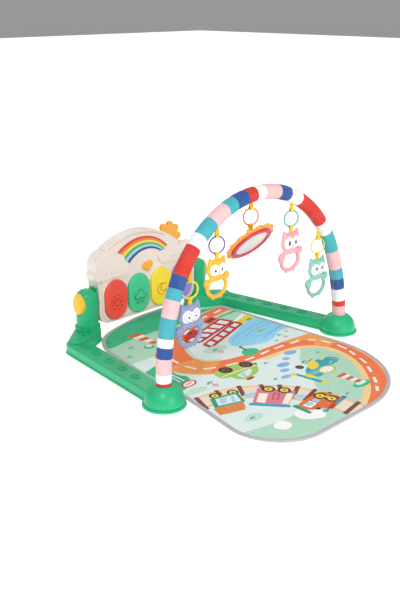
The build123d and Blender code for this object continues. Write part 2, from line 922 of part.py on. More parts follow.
with BuildPart() as panel_screws:
    with BuildSketch(front_plane(panel_back_y - 0.4)):
        with Locations(*panel_screw_spots):
            Circle(screw_head_radius)
            RectangleRounded(1.0, 4.0, 0.3, mode=Mode.SUBTRACT)
    extrude(amount=2.0)
save(panel_screws.part, "panel_screws")

with BuildPart() as power_switch:
    with BuildSketch(front_plane(panel_back_y + 1.5)):
        with Locations((switch_x - switch_travel / 2, switch_z)):
            RectangleRounded(8, 8, 1)
    extrude(amount=3.5)
save(power_switch.part, "power_switch")


# ---------------------------------------------------------------------------
# Keys, melody button, contacts, circuit board and loudspeaker
# ---------------------------------------------------------------------------

figure_height = 1.6
key_front_y = panel_front_y - key_proud
key_back_y = key_front_y + key_depth


def sun_figure():
    """Sun with eight dots."""
    rays = [Pos(p.X, p.Y) * Circle(2.2) for p in polar_points(19, 8)]
    return Circle(10) - Circle(7.5) + rays


def cloud_figure():
    """Cloud with three drops below it."""
    puffs = Pos(-9, 0) * Circle(8) + Pos(3, 5) * Circle(11) + Pos(13, -1) * Circle(7)
    drops = [Pos(x, -18) * Rotation(0, 0, 70) * Ellipse(3, 1.8) for x in (-8, 1, 10)]
    return puffs + drops


def moon_figure():
    """Crescent moon."""
    return Circle(16) - Pos(5.5, 4) * Circle(14)


def star_figure():
    """Five-pointed star."""
    points = []
    for index in range(10):
        radius = 16 if index % 2 == 0 else 7.5
        turn = math.radians(90 + 36 * index)
        points.append((radius * math.cos(turn), radius * math.sin(turn)))
    with BuildSketch(Plane.XY) as star:
        with BuildLine():
            Polyline(*points, close=True)
        make_face()
    return star.sketch


key_figures = {
    "red": sun_figure(),
    "green": cloud_figure(),
    "yellow": moon_figure(),
    "purple": star_figure(),
}

for name, x in key_xs.items():
    key = slab(key_back_y, slot_outline(x, key_z, 0), key_depth)
    key = fillet(key.faces().sort_by(Axis.Y)[0].edges(), 3.5)
    key = key + slab(key_front_y, Pos(x, key_z - 6) * key_figures[name], figure_height)
    # retaining flange behind the front shell, and a hollow back
    key = key + slab(key_back_y, slot_outline(x, key_z, 1.8), key_flange)
    key = key - slab(key_back_y, slot_outline(x, key_z, -3.0), key_depth - 4.0)
    save(key, f"key_{name}")

heart_proud = 5.0
heart_depth = 12.0
heart_button = slab(panel_front_y - heart_proud + heart_depth, heart_outline(0), heart_depth)
heart_button = chamfer(heart_button.faces().sort_by(Axis.Y)[0].edges(), 1.2)
save(heart_button, "heart_button")

contact_height = 8.0
with BuildPart() as key_contacts:
    with BuildSketch(front_plane(board_y)):
        with Locations(*[(x, key_z) for x in key_xs.values()]):
            Circle(9)
    extrude(amount=1.5)
    with BuildSketch(front_plane(board_y)):
        with Locations(*[(x, key_z) for x in key_xs.values()]):
            Circle(5)
    extrude(amount=contact_height - 5.0)
save(key_contacts.part, "key_contacts")

with BuildPart() as circuit_board:
    with BuildSketch(front_plane(board_y + 1.6)):
        with Locations((0, key_z)):
            Rectangle(300, 46)
        with Locations((0, 146)):
            Rectangle(60, 50)
    extrude(amount=1.5)
save(circuit_board.part, "circuit_board")

with BuildPart() as speaker:
    with BuildSketch(front_plane(panel_upper_back_y - panel_wall - 0.5)):
        with Locations((-10.0, 205.0)):
            Circle(20)
    extrude(amount=4)
    with BuildSketch(front_plane(panel_upper_back_y - panel_wall - 4.5)):
        with Locations((-10.0, 205.0)):
            Circle(12)
    extrude(amount=9)
save(speaker.part, "speaker")


# ---------------------------------------------------------------------------
# Rainbow stripes
# ---------------------------------------------------------------------------

def rainbow_circle(share):
    """Disc between the outer (0) and the inner (1) edge of the rainbow."""
    x, z, radius = [a + (b - a) * share for a, b in zip(rainbow_outer, rainbow_inner)]
    return Pos(x, z) * Circle(radius)


with BuildSketch(Plane.XY) as rainbow_window:
    with BuildLine():
        Polyline(
            (-109, 228), (-66, 185), (-20, 150), (40, 190), (72, 218), (110, 300), (-170, 300),
            close=True,
        )
    make_face()
stripe_field = rainbow_window.sketch - cloud_outline(left_cloud, 163, 0.2)
stripe_field = stripe_field - cloud_outline(right_cloud, 166, 0.2)

stripes = []
for index in range(stripe_count):
    outer = rainbow_circle(index / stripe_count)
    inner = rainbow_circle((index + stripe_fill) / stripe_count)
    stripes.append(slab(panel_front_y - 0.02, stripe_field & (outer - inner), stripe_proud))

with BuildPart() as rainbow:
    add(stripes)
save(rainbow.part, "rainbow")


# ---------------------------------------------------------------------------
# Play mat and its binding
# ---------------------------------------------------------------------------

def mat_shape(inset):
    """Outline of the mat moved inwards: straight edges joined by tangent arcs."""
    with BuildSketch(Plane.XY) as outline:
        with BuildLine():
            FilletPolyline(
                [(x, column_y - front) for x, front, radius in mat_corners],
                radius=[radius for x, front, radius in mat_corners],
                close=True,
            )
        make_face()
        if inset:
            offset(amount=-inset)
    return outline.sketch


mat_edge = mat_shape(0)
mat_inner = mat_shape(binding_width)
mat_field = mat_shape(binding_width + fit_gap)

with BuildPart() as play_mat:
    add(mat_field)
    extrude(amount=mat_thickness)
save(play_mat.part, "play_mat")

with BuildPart() as mat_binding:
    add(mat_edge - mat_inner)
    extrude(amount=binding_thickness)
save(mat_binding.part, "mat_binding")
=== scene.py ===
"""Activity play gym: finishes, printed mat, padded arch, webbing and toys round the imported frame.

Lengths are typed in millimetres and turned into metres where a mesh is made.
X runs across the gym, +Y towards the piano panel, +Z up.
"""

import itertools
import math

import bmesh
import bpy
from mathutils import Matrix, Vector, noise
from mathutils.bvhtree import BVHTree
from mathutils.geometry import delaunay_2d_cdt


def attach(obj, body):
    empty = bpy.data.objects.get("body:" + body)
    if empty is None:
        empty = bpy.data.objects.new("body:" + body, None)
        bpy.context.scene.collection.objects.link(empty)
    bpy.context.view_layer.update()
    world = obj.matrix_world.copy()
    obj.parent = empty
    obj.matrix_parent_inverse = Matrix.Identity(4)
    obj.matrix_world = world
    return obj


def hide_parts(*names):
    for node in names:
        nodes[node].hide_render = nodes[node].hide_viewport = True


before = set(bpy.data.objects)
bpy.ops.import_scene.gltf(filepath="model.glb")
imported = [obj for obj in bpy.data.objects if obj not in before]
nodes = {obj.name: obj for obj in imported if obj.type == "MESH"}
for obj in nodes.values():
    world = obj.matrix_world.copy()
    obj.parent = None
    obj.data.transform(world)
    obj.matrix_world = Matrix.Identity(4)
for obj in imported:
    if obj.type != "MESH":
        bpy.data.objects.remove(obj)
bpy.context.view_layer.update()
MM = 0.001

# ---------------------------------------------------------------------------
# Sizes shared with the frame, millimetres
# ---------------------------------------------------------------------------

COLUMN_Y = 359.5
DOME_X = 324.0
DOME_Y = -66.5
ARCH_START_Z = 41.5
ARCH_LEAN = 0.043
SIDE_RADIUS = 531.0
SIDE_ANGLE = math.radians(21.0)
SLEEVE_RADIUS = 18.0
SLEEVE_BORE = 12.9
RING_MAJOR = 20.1
RING_TURN = math.radians(18.0)
TOYS = {
    "blue": (-232.0, 247.0, 1.0),
    "yellow": (-142.0, 332.0, 0.92),
    "mirror": (-26.0, 377.0, 1.0),
    "pink": (123.0, 347.0, 1.0),
    "mint": (231.0, 256.0, 1.0),
}
SIDE_CENTER_X = SIDE_RADIUS - DOME_X
TOP_RADIUS = SIDE_RADIUS - SIDE_CENTER_X / math.cos(SIDE_ANGLE)
TOP_CENTER = SIDE_CENTER_X * math.tan(SIDE_ANGLE)
SIDE_LENGTH = SIDE_RADIUS * SIDE_ANGLE
TOP_LENGTH = TOP_RADIUS * (math.pi - 2 * SIDE_ANGLE)
ARCH_LENGTH = 2 * SIDE_LENGTH + TOP_LENGTH


# ---------------------------------------------------------------------------
# Node tree helpers
# ---------------------------------------------------------------------------

def shade(text, alpha=1.0):
    """Linear colour of an sRGB shade written as rrggbb."""
    channels = [int(text[i:i + 2], 16) / 255 for i in (0, 2, 4)]
    linear = [c / 12.92 if c <= 0.04045 else ((c + 0.055) / 1.055) ** 2.4 for c in channels]
    return (*linear, alpha)


def add(tree, kind, values=None, **settings):
    """New node; its values are constants or the output sockets of other nodes."""
    made = tree.nodes.new(kind)
    for name, value in settings.items():
        setattr(made, name, value)
    for key, value in (values or {}).items():
        if isinstance(value, bpy.types.NodeSocket):
            tree.links.new(value, made.inputs[key])
        else:
            made.inputs[key].default_value = value
    return made


def math_node(tree, operation, first, second=0.0, third=0.0):
    """Output of one Math node."""
    made = add(tree, "ShaderNodeMath", {0: first, 1: second, 2: third}, operation=operation)
    return made.outputs[0]


def ranged(tree, value, low, high, new_low=0.0, new_high=1.0):
    """Output of a clamped Map Range node."""
    made = add(tree, "ShaderNodeMapRange", {
        "Value": value, "From Min": low, "From Max": high, "To Min": new_low, "To Max": new_high,
    })
    return made.outputs["Result"]


def mixed(tree, factor, first, second, blend="MIX"):
    """Output of a colour Mix node."""
    made = add(tree, "ShaderNodeMix", {0: factor, 6: first, 7: second}, data_type="RGBA", blend_type=blend)
    return made.outputs[2]


def noise_node(tree, vector, scale, detail=2.0, roughness=0.5):
    """Factor of a noise texture."""
    made = add(tree, "ShaderNodeTexNoise", {
        "Vector": vector, "Scale": scale, "Detail": detail, "Roughness": roughness,
    })
    return made.outputs["Fac"]


def new_group(name, inputs, outputs):
    """Empty shader node group with named sockets; returns it with its input and output nodes."""
    group = bpy.data.node_groups.new(name, "ShaderNodeTree")
    for socket, kind, default in inputs:
        made = group.interface.new_socket(socket, in_out="INPUT", socket_type=kind)
        if default is not None:
            made.default_value = default
    for socket, kind in outputs:
        group.interface.new_socket(socket, in_out="OUTPUT", socket_type=kind)
    return group, group.nodes.new("NodeGroupInput"), group.nodes.new("NodeGroupOutput")


def use(tree, group, values):
    """Place a shader node group."""
    made = tree.nodes.new("ShaderNodeGroup")
    made.node_tree = group
    for key, value in values.items():
        if isinstance(value, bpy.types.NodeSocket):
            tree.links.new(value, made.inputs[key])
        else:
            made.inputs[key].default_value = value
    return made


# ---------------------------------------------------------------------------
# Shared effects
# ---------------------------------------------------------------------------

def build_grain():
    """Fine moulded grain, slow patches and sparse hairline scuffs."""
    group, given, result = new_group(
        "moulded grain",
        [("Vector", "NodeSocketVector", None), ("Grain", "NodeSocketFloat", 900.0),
         ("Scuff", "NodeSocketFloat", 0.5)],
        [("Height", "NodeSocketFloat"), ("Patch", "NodeSocketFloat"), ("Scuffs", "NodeSocketFloat")],
    )
    place = given.outputs["Vector"]
    fine = noise_node(group, place, given.outputs["Grain"], 2.0, 0.6)
    patch = noise_node(group, place, 9.0, 3.0, 0.55)
    stretched = add(group, "ShaderNodeMapping", {"Vector": place, "Scale": (14.0, 160.0, 60.0),
                                                 "Rotation": (0.3, 0.5, 0.7)})
    lines = noise_node(group, stretched.outputs[0], 3.0, 4.0, 0.65)
    where = noise_node(group, place, 22.0, 1.0, 0.5)
    hair = ranged(group, lines, 0.66, 0.72)
    spots = ranged(group, where, 0.5, 0.62)
    scuffs = math_node(group, "MULTIPLY", math_node(group, "MULTIPLY", hair, spots), given.outputs["Scuff"])
    group.links.new(fine, result.inputs["Height"])
    group.links.new(patch, result.inputs["Patch"])
    group.links.new(scuffs, result.inputs["Scuffs"])
    return group


def build_weave():
    """Plain weave: ridges of warp and weft that pass over each other, and a mask of the gaps between threads for
    painted shade.
    """
    group, given, result = new_group(
        "plain weave",
        [("Vector", "NodeSocketVector", None), ("Thread", "NodeSocketFloat", 0.001)],
        [("Height", "NodeSocketFloat"), ("Gap shade", "NodeSocketFloat")],
    )
    axes = add(group, "ShaderNodeSeparateXYZ", {0: given.outputs["Vector"]})
    turns = math_node(group, "DIVIDE", math.pi, given.outputs["Thread"])
    wobble = noise_node(group, given.outputs["Vector"], 180.0, 1.0)
    along = math_node(group, "MULTIPLY_ADD", axes.outputs[0], turns, wobble)
    across = math_node(group, "MULTIPLY_ADD", axes.outputs[1], turns, wobble)
    sine_a = math_node(group, "SINE", along)
    sine_b = math_node(group, "SINE", across)
    over = ranged(group, math_node(group, "MULTIPLY", sine_a, sine_b), -0.25, 0.25)
    warp = math_node(group, "ABSOLUTE", sine_a)
    weft = math_node(group, "ABSOLUTE", sine_b)
    kept = math_node(group, "MULTIPLY", warp, over)
    rest = math_node(group, "MULTIPLY", weft, math_node(group, "SUBTRACT", 1.0, over))
    height = math_node(group, "ADD", kept, rest)
    gap_shade = ranged(group, height, 0.55, 0.15)
    group.links.new(height, result.inputs["Height"])
    group.links.new(gap_shade, result.inputs["Gap shade"])
    return group


def build_dust():
    """Light dust that gathers on faces that look up."""
    group, given, result = new_group(
        "settled dust",
        [("Vector", "NodeSocketVector", None), ("Amount", "NodeSocketFloat", 0.3)],
        [("Mask", "NodeSocketFloat")],
    )
    normal = group.nodes.new("ShaderNodeNewGeometry").outputs["Normal"]
    up = add(group, "ShaderNodeSeparateXYZ", {0: normal}).outputs[2]
    lying = ranged(group, up, 0.4, 1.0)
    cloudy = noise_node(group, given.outputs["Vector"], 35.0, 5.0, 0.7)
    mask = math_node(group, "MULTIPLY", lying, ranged(group, cloudy, 0.45, 0.75))
    mask = math_node(group, "MULTIPLY", mask, given.outputs["Amount"])
    group.links.new(mask, result.inputs["Mask"])
    return group


GRAIN = build_grain()
WEAVE = build_weave()
DUST = build_dust()


# ---------------------------------------------------------------------------
# Finishes
# ---------------------------------------------------------------------------

def new_material(name):
    """Material with an empty tree, its Principled shader and object coordinates."""
    made = bpy.data.materials.new(name)
    made.use_nodes = True
    tree = made.node_tree
    shader = tree.nodes["Principled BSDF"]
    place = tree.nodes.new("ShaderNodeTexCoord").outputs["Object"]
    return made, tree, shader, place


def plastic(name, tone, rough=0.34, grain=900.0, scuff=0.5, bump=0.00004, coat=0.15, dust=0.25,
            spread=0.06, metal=0.0, gloss=0.5):
    """Moulded plastic with grain, faint patches, hairline scuffs and dust."""
    made, tree, shader, place = new_material(name)
    base = shade(tone)
    light = (*[min(1.0, c * (1 + spread) + 0.004) for c in base[:3]], 1.0)
    dark = (*[c * (1 - spread) for c in base[:3]], 1.0)
    effect = use(tree, GRAIN, {"Vector": place, "Grain": grain, "Scuff": scuff})
    dusty = use(tree, DUST, {"Vector": place, "Amount": dust})
    tint = mixed(tree, ranged(tree, effect.outputs["Patch"], 0.3, 0.7), dark, light)
    tint = mixed(tree, ranged(tree, effect.outputs["Scuffs"], 0.0, 1.0, 0.0, 0.25), tint, (0.9, 0.9, 0.9, 1))
    tint = mixed(tree, ranged(tree, dusty.outputs["Mask"], 0.0, 1.0, 0.0, 0.16), tint, (0.8, 0.79, 0.76, 1))
    uneven = ranged(tree, effect.outputs["Patch"], 0.3, 0.7, rough - 0.04, rough + 0.06)
    uneven = math_node(tree, "MULTIPLY_ADD", effect.outputs["Scuffs"], 0.25, uneven)
    uneven = math_node(tree, "MULTIPLY_ADD", dusty.outputs["Mask"], 0.25, uneven)
    raised = math_node(tree, "SUBTRACT", effect.outputs["Height"], effect.outputs["Scuffs"])
    bumped = add(tree, "ShaderNodeBump", {"Height": raised, "Strength": 0.6, "Distance": bump})
    tree.links.new(tint, shader.inputs["Base Color"])
    tree.links.new(uneven, shader.inputs["Roughness"])
    tree.links.new(bumped.outputs[0], shader.inputs["Normal"])
    shader.inputs["Metallic"].default_value = metal
    shader.inputs["Coat Weight"].default_value = coat
    shader.inputs["Specular IOR Level"].default_value = gloss
    shader.inputs["Coat Roughness"].default_value = 0.18
    shader.inputs["IOR"].default_value = 1.5
    return made


def cloth(name, tone=None, thread=0.0009, coordinates=None, bump=0.00018, depth=0.82, sheen=0.08):
    """Woven cloth; without a tone it takes its colours from the piece's dye attribute. The gaps of the weave are
    darkened towards black as painted shade, by at most 1 - depth.
    """
    made, tree, shader, place = new_material(name)
    if coordinates:
        place = add(tree, "ShaderNodeUVMap", uv_map=coordinates).outputs[0]
    weave = use(tree, WEAVE, {"Vector": place, "Thread": thread})
    if tone:
        base = add(tree, "ShaderNodeRGB").outputs[0]
        base.default_value = shade(tone)
    else:
        base = add(tree, "ShaderNodeAttribute", attribute_name="dye").outputs["Color"]
    worn = noise_node(tree, place, 28.0, 4.0, 0.6)
    fuzz = noise_node(tree, place, 1500.0, 2.0, 0.7)
    # Painted shade: the gaps between threads are darkened towards black, where the shade of the weave falls.
    tint = mixed(tree, ranged(tree, weave.outputs["Gap shade"], 0.0, 1.0, 0.0, 1.0 - depth), base, (0.02, 0.02, 0.02, 1))
    tint = mixed(tree, ranged(tree, worn, 0.35, 0.75, 0.0, 0.04), tint, (1.0, 1.0, 1.0, 1))
    tint = mixed(tree, ranged(tree, fuzz, 0.55, 0.8, 0.0, 0.05), tint, (0.95, 0.95, 0.95, 1))
    height = math_node(tree, "MULTIPLY_ADD", fuzz, 0.35, weave.outputs["Height"])
    bumped = add(tree, "ShaderNodeBump", {"Height": height, "Strength": 0.7, "Distance": bump})
    tree.links.new(tint, shader.inputs["Base Color"])
    tree.links.new(ranged(tree, worn, 0.3, 0.7, 0.78, 0.92), shader.inputs["Roughness"])
    tree.links.new(bumped.outputs[0], shader.inputs["Normal"])
    shader.inputs["Sheen Weight"].default_value = sheen
    shader.inputs["Sheen Roughness"].default_value = 0.5
    shader.inputs["Specular IOR Level"].default_value = 0.3
    return made


def mirror_sheet():
    """Silvered safety mirror, slightly wavy and smudged."""
    made, tree, shader, place = new_material("mirror sheet")
    wave = noise_node(tree, place, 30.0, 1.0)
    smudge = noise_node(tree, place, 90.0, 5.0, 0.7)
    bumped = add(tree, "ShaderNodeBump", {"Height": wave, "Strength": 0.25, "Distance": 0.0008})
    tint = mixed(tree, ranged(tree, smudge, 0.5, 0.8, 0.0, 0.3), shade("F8F4F4"), shade("E2E0E4"))
    tree.links.new(tint, shader.inputs["Base Color"])
    tree.links.new(ranged(tree, smudge, 0.45, 0.8, 0.3, 0.42), shader.inputs["Roughness"])
    tree.links.new(bumped.outputs[0], shader.inputs["Normal"])
    shader.inputs["Metallic"].default_value = 0.4
    return made


FINISHES = {
    "green_plastic": plastic("green moulding", "1CB47B", rough=0.36, coat=0.08, gloss=0.35),
    "cream_plastic": plastic("cream moulding", "F0E4DA", rough=0.42, spread=0.03),
    "red_key": plastic("red key", "F24C3A", rough=0.38),
    "green_key": plastic("green key", "3ECC96", rough=0.38),
    "yellow_key": plastic("yellow key", "FFE42E", rough=0.38, spread=0.03),
    "purple_key": plastic("purple key", "9B86E0", rough=0.38),
    "orange_plastic": plastic("orange moulding", "FBAE25", rough=0.34),
    "yellow_plastic": plastic("release button", "FFC51A", rough=0.34, spread=0.03),
    "printed_inlay": plastic("inlay", "E33A32"),
    "tube_plastic": plastic("arch tube", "E9ECEA", rough=0.5),
    "ring_purple": plastic("purple ring", "7D57A8", rough=0.24, coat=0.4),
    "ring_orange": plastic("orange ring", "EE8A2E", rough=0.24, coat=0.4),
    "ring_teal": plastic("teal ring", "45A9AE", rough=0.24, coat=0.4),
    "ring_lime": plastic("lime ring", "C8DA45", rough=0.24, coat=0.4),
    "ring_yellow": plastic("yellow ring", "F4D825", rough=0.24, coat=0.4, spread=0.03),
    "owl_yellow": plastic("yellow owl", "F1B52A", rough=0.36),
    "owl_pink": plastic("pink owl", "F0A6AF", rough=0.36),
    "owl_mint": plastic("mint owl", "86C4B6", rough=0.36),
    "owl_blue": plastic("blue owl", "8A95C0", rough=0.36),
    "frame_orange": plastic("mirror back", "FBA23C", rough=0.36),
    "bezel_crimson": plastic("mirror rim", "C8264E", rough=0.3),
    "steel": plastic("zinc steel", "B9BCC0", rough=0.36, metal=0.9, coat=0.0, dust=0.1),
    "pad_rubber": plastic("grip rubber", "55585C", rough=0.75, coat=0.0, bump=0.0001),
    "contact_rubber": plastic("contact rubber", "C9CACB", rough=0.7, coat=0.0),
    "board": plastic("circuit board", "2F7D4B", rough=0.45, coat=0.3),
    "battery_steel": plastic("battery jacket", "3E6FB5", rough=0.35, metal=0.3),
    "black_plastic": plastic("black moulding", "2A2B2D", rough=0.45),
    "speaker_black": plastic("speaker cone", "303236", rough=0.6, coat=0.0),
    "mirror_film": mirror_sheet(),
    "web_fabric": cloth("yellow webbing", "F3CC18", thread=0.0011, coordinates="cloth", bump=0.0003),
    "sleeve_fabric": cloth("banded sleeve cloth", thread=0.0009, coordinates="cloth"),
    "mat_fabric": cloth("printed mat cloth", thread=0.0010, bump=0.00012, sheen=0.05),
    "binding_fabric": cloth("binding tape", "B9B6BA", thread=0.0012, coordinates="cloth"),
}
THREAD = cloth("sewing thread", "F2EFEA", thread=0.0004)
GOLD_THREAD = cloth("gold thread", "D9A90E", thread=0.0004)
WHITE_FACE = plastic("white face", "FBFAF6", rough=0.36, spread=0.02)
BLACK_EYE = plastic("black eye", "15161A", rough=0.18, coat=0.5, dust=0.1)
BEAK = plastic("orange beak", "F2A23C", rough=0.36)


def dress_frame():
    """Give every shown frame part the finish of its own material slot."""
    for part in nodes.values():
        for slot in part.material_slots:
            slot.material = FINISHES[slot.material.name.split(".")[0]]


dress_frame()


# ---------------------------------------------------------------------------
# Mesh helpers
# ---------------------------------------------------------------------------

def new_piece(name, points, faces, material, smooth=True):
    """Object from points in millimetres."""
    mesh = bpy.data.meshes.new(name)
    mesh.from_pydata([Vector(p) * MM for p in points], [], faces)
    mesh.materials.append(material)
    if smooth:
        mesh.shade_smooth()
    made = bpy.data.objects.new(name, mesh)
    bpy.context.scene.collection.objects.link(made)
    return made


def outwards(piece, merge=0.0):
    """Close doubles and turn every face outwards."""
    shape = bmesh.new()
    shape.from_mesh(piece.data)
    if merge:
        bmesh.ops.remove_doubles(shape, verts=shape.verts, dist=merge)
    bmesh.ops.recalc_face_normals(shape, faces=shape.faces)
    shape.to_mesh(piece.data)
    shape.free()
    return piece


def row_faces(rows, columns, ring_closed, first=0):
    """Quads between neighbouring rows of a grid whose columns close round."""
    faces = []
    last = rows if ring_closed else rows - 1
    for row in range(last):
        here = first + row * columns
        above = first + ((row + 1) % rows) * columns
        for column in range(columns):
            beside = (column + 1) % columns
            faces.append((here + column, here + beside, above + beside, above + column))
    return faces


def paint(mesh, tones):
    """Store one colour per face in the dye attribute."""
    layer = mesh.color_attributes.new(name="dye", type="FLOAT_COLOR", domain="CORNER")
    values = []
    for face, tone in zip(mesh.polygons, tones):
        values.extend(tone * face.loop_total)
    layer.data.foreach_set("color", values)


def lay_cloth(mesh, place_of):
    """UV map in metres from the place of each corner, given by place_of(face index, corner index)."""
    layer = mesh.uv_layers.new(name="cloth")
    for face in mesh.polygons:
        for corner, loop in enumerate(face.loop_indices):
            layer.data[loop].uv = place_of(face.index, corner)


def evaluated(piece):
    """Plain mesh of an object with its modifiers applied."""
    bpy.context.view_layer.update()
    graph = bpy.context.evaluated_depsgraph_get()
    return bpy.data.meshes.new_from_object(piece.evaluated_get(graph))


def applied(piece):
    """Apply the modifiers of a piece."""
    mesh = evaluated(piece)
    piece.modifiers.clear()
    piece.data = mesh
    return piece


def smooth_ring(points, steps):
    """Smooth closed line through points."""
    line = []
    count = len(points)
    for i in range(count):
        before, start, end, after = [Vector(points[(i + k) % count]) for k in (-1, 0, 1, 2)]
        for step in range(steps):
            t = step / steps
            line.append(0.5 * (
                2 * start + (end - before) * t
                + (2 * before - 5 * start + 4 * end - after) * t ** 2
                + (3 * start - before - 3 * end + after) * t ** 3
            ))
    return line


def smooth_run(points, steps):
    """Smooth open line through points."""
    line = []
    ends = [points[0], *points, points[-1]]
    for i in range(len(points) - 1):
        before, start, end, after = [Vector(p) for p in ends[i:i + 4]]
        for step in range(steps):
            t = step / steps
            line.append(0.5 * (
                2 * start + (end - before) * t
                + (2 * before - 5 * start + 4 * end - after) * t ** 2
                + (3 * start - before - 3 * end + after) * t ** 3
            ))
    line.append(Vector(points[-1]))
    return line


# ---------------------------------------------------------------------------
# Stitching: one node tree for every sewn line
# ---------------------------------------------------------------------------

def build_stitch_tree():
    """Geometry node tree that lays stitches along the edges of a mesh line."""
    tree = bpy.data.node_groups.new("stitch row", "GeometryNodeTree")
    face = tree.interface
    face.new_socket("Line", in_out="INPUT", socket_type="NodeSocketGeometry")
    sockets = {}
    for name, default in (("Spacing", 0.004), ("Stitch length", 0.0028), ("Thread radius", 0.0004)):
        made = face.new_socket(name, in_out="INPUT", socket_type="NodeSocketFloat")
        made.default_value = default
        sockets[name] = made.identifier
    made = face.new_socket("Thread", in_out="INPUT", socket_type="NodeSocketMaterial")
    sockets["Thread"] = made.identifier
    face.new_socket("Stitches", in_out="OUTPUT", socket_type="NodeSocketGeometry")
    given = tree.nodes.new("NodeGroupInput")
    result = tree.nodes.new("NodeGroupOutput")
    curve = add(tree, "GeometryNodeMeshToCurve", {0: given.outputs["Line"]})
    spaced = add(tree, "GeometryNodeResampleCurve", {"Curve": curve.outputs[0], "Length": given.outputs["Spacing"]},
                 mode="LENGTH")
    along = tree.nodes.new("GeometryNodeInputTangent").outputs[0]
    turned = add(tree, "FunctionNodeAlignRotationToVector", {"Vector": along}, axis="X")
    bead = add(tree, "GeometryNodeMeshIcoSphere", {"Radius": 1.0, "Subdivisions": 1})
    half = add(tree, "ShaderNodeMath", {0: given.outputs["Stitch length"], 1: 0.5}, operation="MULTIPLY")
    size = add(tree, "ShaderNodeCombineXYZ", {
        0: half.outputs[0], 1: given.outputs["Thread radius"], 2: given.outputs["Thread radius"],
    })
    uneven = add(tree, "FunctionNodeRandomValue", {"Min": 0.88, "Max": 1.08, "Seed": 7}, data_type="FLOAT")
    uneven.inputs[2].default_value = 0.88
    uneven.inputs[3].default_value = 1.08
    scaled = add(tree, "ShaderNodeVectorMath", {0: size.outputs[0]}, operation="SCALE")
    tree.links.new(uneven.outputs[1], scaled.inputs["Scale"])
    laid = add(tree, "GeometryNodeInstanceOnPoints", {
        "Points": spaced.outputs[0], "Instance": bead.outputs[0], "Rotation": turned.outputs[0],
        "Scale": scaled.outputs[0],
    })
    real = add(tree, "GeometryNodeRealizeInstances", {0: laid.outputs[0]})
    dyed = add(tree, "GeometryNodeSetMaterial", {"Geometry": real.outputs[0], "Material": given.outputs["Thread"]})
    tree.links.new(dyed.outputs[0], result.inputs[0])
    return tree, sockets


STITCH_TREE, STITCH_SOCKETS = build_stitch_tree()


def sew(name, lines, body, spacing=4.0, length=2.8, radius=0.4, thread=THREAD, closed=False):
    """Stitches along lines of points in millimetres, riding on a body."""
    points, edges = [], []
    for line in lines:
        first = len(points)
        points.extend(Vector(p) * MM for p in line)
        edges.extend((first + i, first + i + 1) for i in range(len(line) - 1))
        if closed:
            edges.append((len(points) - 1, first))
    mesh = bpy.data.meshes.new(name)
    mesh.from_pydata(points, edges, [])
    piece = bpy.data.objects.new(name, mesh)
    bpy.context.scene.collection.objects.link(piece)
    rows = piece.modifiers.new("stitches", "NODES")
    rows.node_group = STITCH_TREE
    for socket, value in (("Spacing", spacing), ("Stitch length", length), ("Thread radius", radius)):
        rows[STITCH_SOCKETS[socket]] = value * MM
    rows[STITCH_SOCKETS["Thread"]] = thread
    applied(piece)
    piece.data.shade_smooth()
    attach(piece, body)
    return piece


# ---------------------------------------------------------------------------
# Padded sleeve of the arch
# ---------------------------------------------------------------------------

BAND_DYES = {"red": "D42F1F", "white": "F6F1F3", "pink": "EFC2C4", "navy": "26509A", "teal": "43AEBB"}
BAND_CUTS = (
    (15, "red"), (20, "white"), (35, "pink"), (25, "navy"), (20, "white"), (45, "teal"), (40, "pink"),
    (25, "teal"), (30, "navy"), (70, "red"), (30, "white"), (45, "teal"), (50, "pink"), (30, "teal"),
    (40, "navy"), (30, "red"), (30, "white"), (55, "pink"), (40, "navy"), (45, "white"), (115, "red"),
    (40, "white"), (60, "teal"), (55, "pink"), (30, "teal"), (30, "navy"), (35, "white"), (15, "red"),
    (35, "pink"),
)
ARCH_SIDE = Vector((0, -1, ARCH_LEAN)).normalized()
ARCH_UP = Vector((0, ARCH_LEAN, 1)).normalized()


def arch_station(distance):
    """Middle of the sleeve and its outward direction at a distance from the left foot."""
    if distance < SIDE_LENGTH:
        turn = distance / SIDE_RADIUS
        across, up = -math.cos(turn), math.sin(turn)
        x, z = SIDE_CENTER_X + SIDE_RADIUS * across, SIDE_RADIUS * up
    elif distance > SIDE_LENGTH + TOP_LENGTH:
        turn = (ARCH_LENGTH - distance) / SIDE_RADIUS
        across, up = math.cos(turn), math.sin(turn)
        x, z = -SIDE_CENTER_X + SIDE_RADIUS * across, SIDE_RADIUS * up
    else:
        turn = math.pi - SIDE_ANGLE - (distance - SIDE_LENGTH) / TOP_RADIUS
        across, up = math.cos(turn), math.sin(turn)
        x, z = TOP_RADIUS * across, TOP_CENTER + TOP_RADIUS * up
    middle = Vector((x, DOME_Y, ARCH_START_Z)) + ARCH_UP * z
    return middle, Vector((1, 0, 0)) * across + ARCH_UP * up


def sleeve_rows():
    """Distances of the rows along the sleeve with the distance to the nearest seam and the band."""
    rows = []
    start = 0.0
    ends = [min(end, ARCH_LENGTH) for end in itertools.accumulate(cut for cut, dye in BAND_CUTS)]
    ends[-1] = ARCH_LENGTH
    for band, end in enumerate(ends):
        steps = max(4, round((end - start) / 2.6))
        for step in range(steps):
            share = step / steps
            eased = share - 0.35 * math.sin(2 * math.pi * share) / (2 * math.pi)
            at = start + (end - start) * eased
            rows.append((at, min(at - start, end - at), band))
        start = end
    rows.append((ARCH_LENGTH, 0.0, len(ends) - 1))
    return rows


def sleeve_radius(at, to_seam, turn):
    """Radius of the padded skin: full between seams, pinched and puckered at them."""
    fullness = 1 - math.exp(-to_seam / 3.5)
    pucker = math.exp(-to_seam / 7.0) * 0.45
    ripple = noise.noise(Vector((math.cos(turn) * 4.5, math.sin(turn) * 4.5, at / 26)))
    sag = noise.noise(Vector((math.cos(turn), math.sin(turn), at / 60 + 20)))
    inner = math.exp(-((turn - math.pi) / 0.09) ** 2)
    return SLEEVE_RADIUS - 0.45 + 0.75 * fullness + pucker * ripple + 0.25 * sag - 0.8 * inner


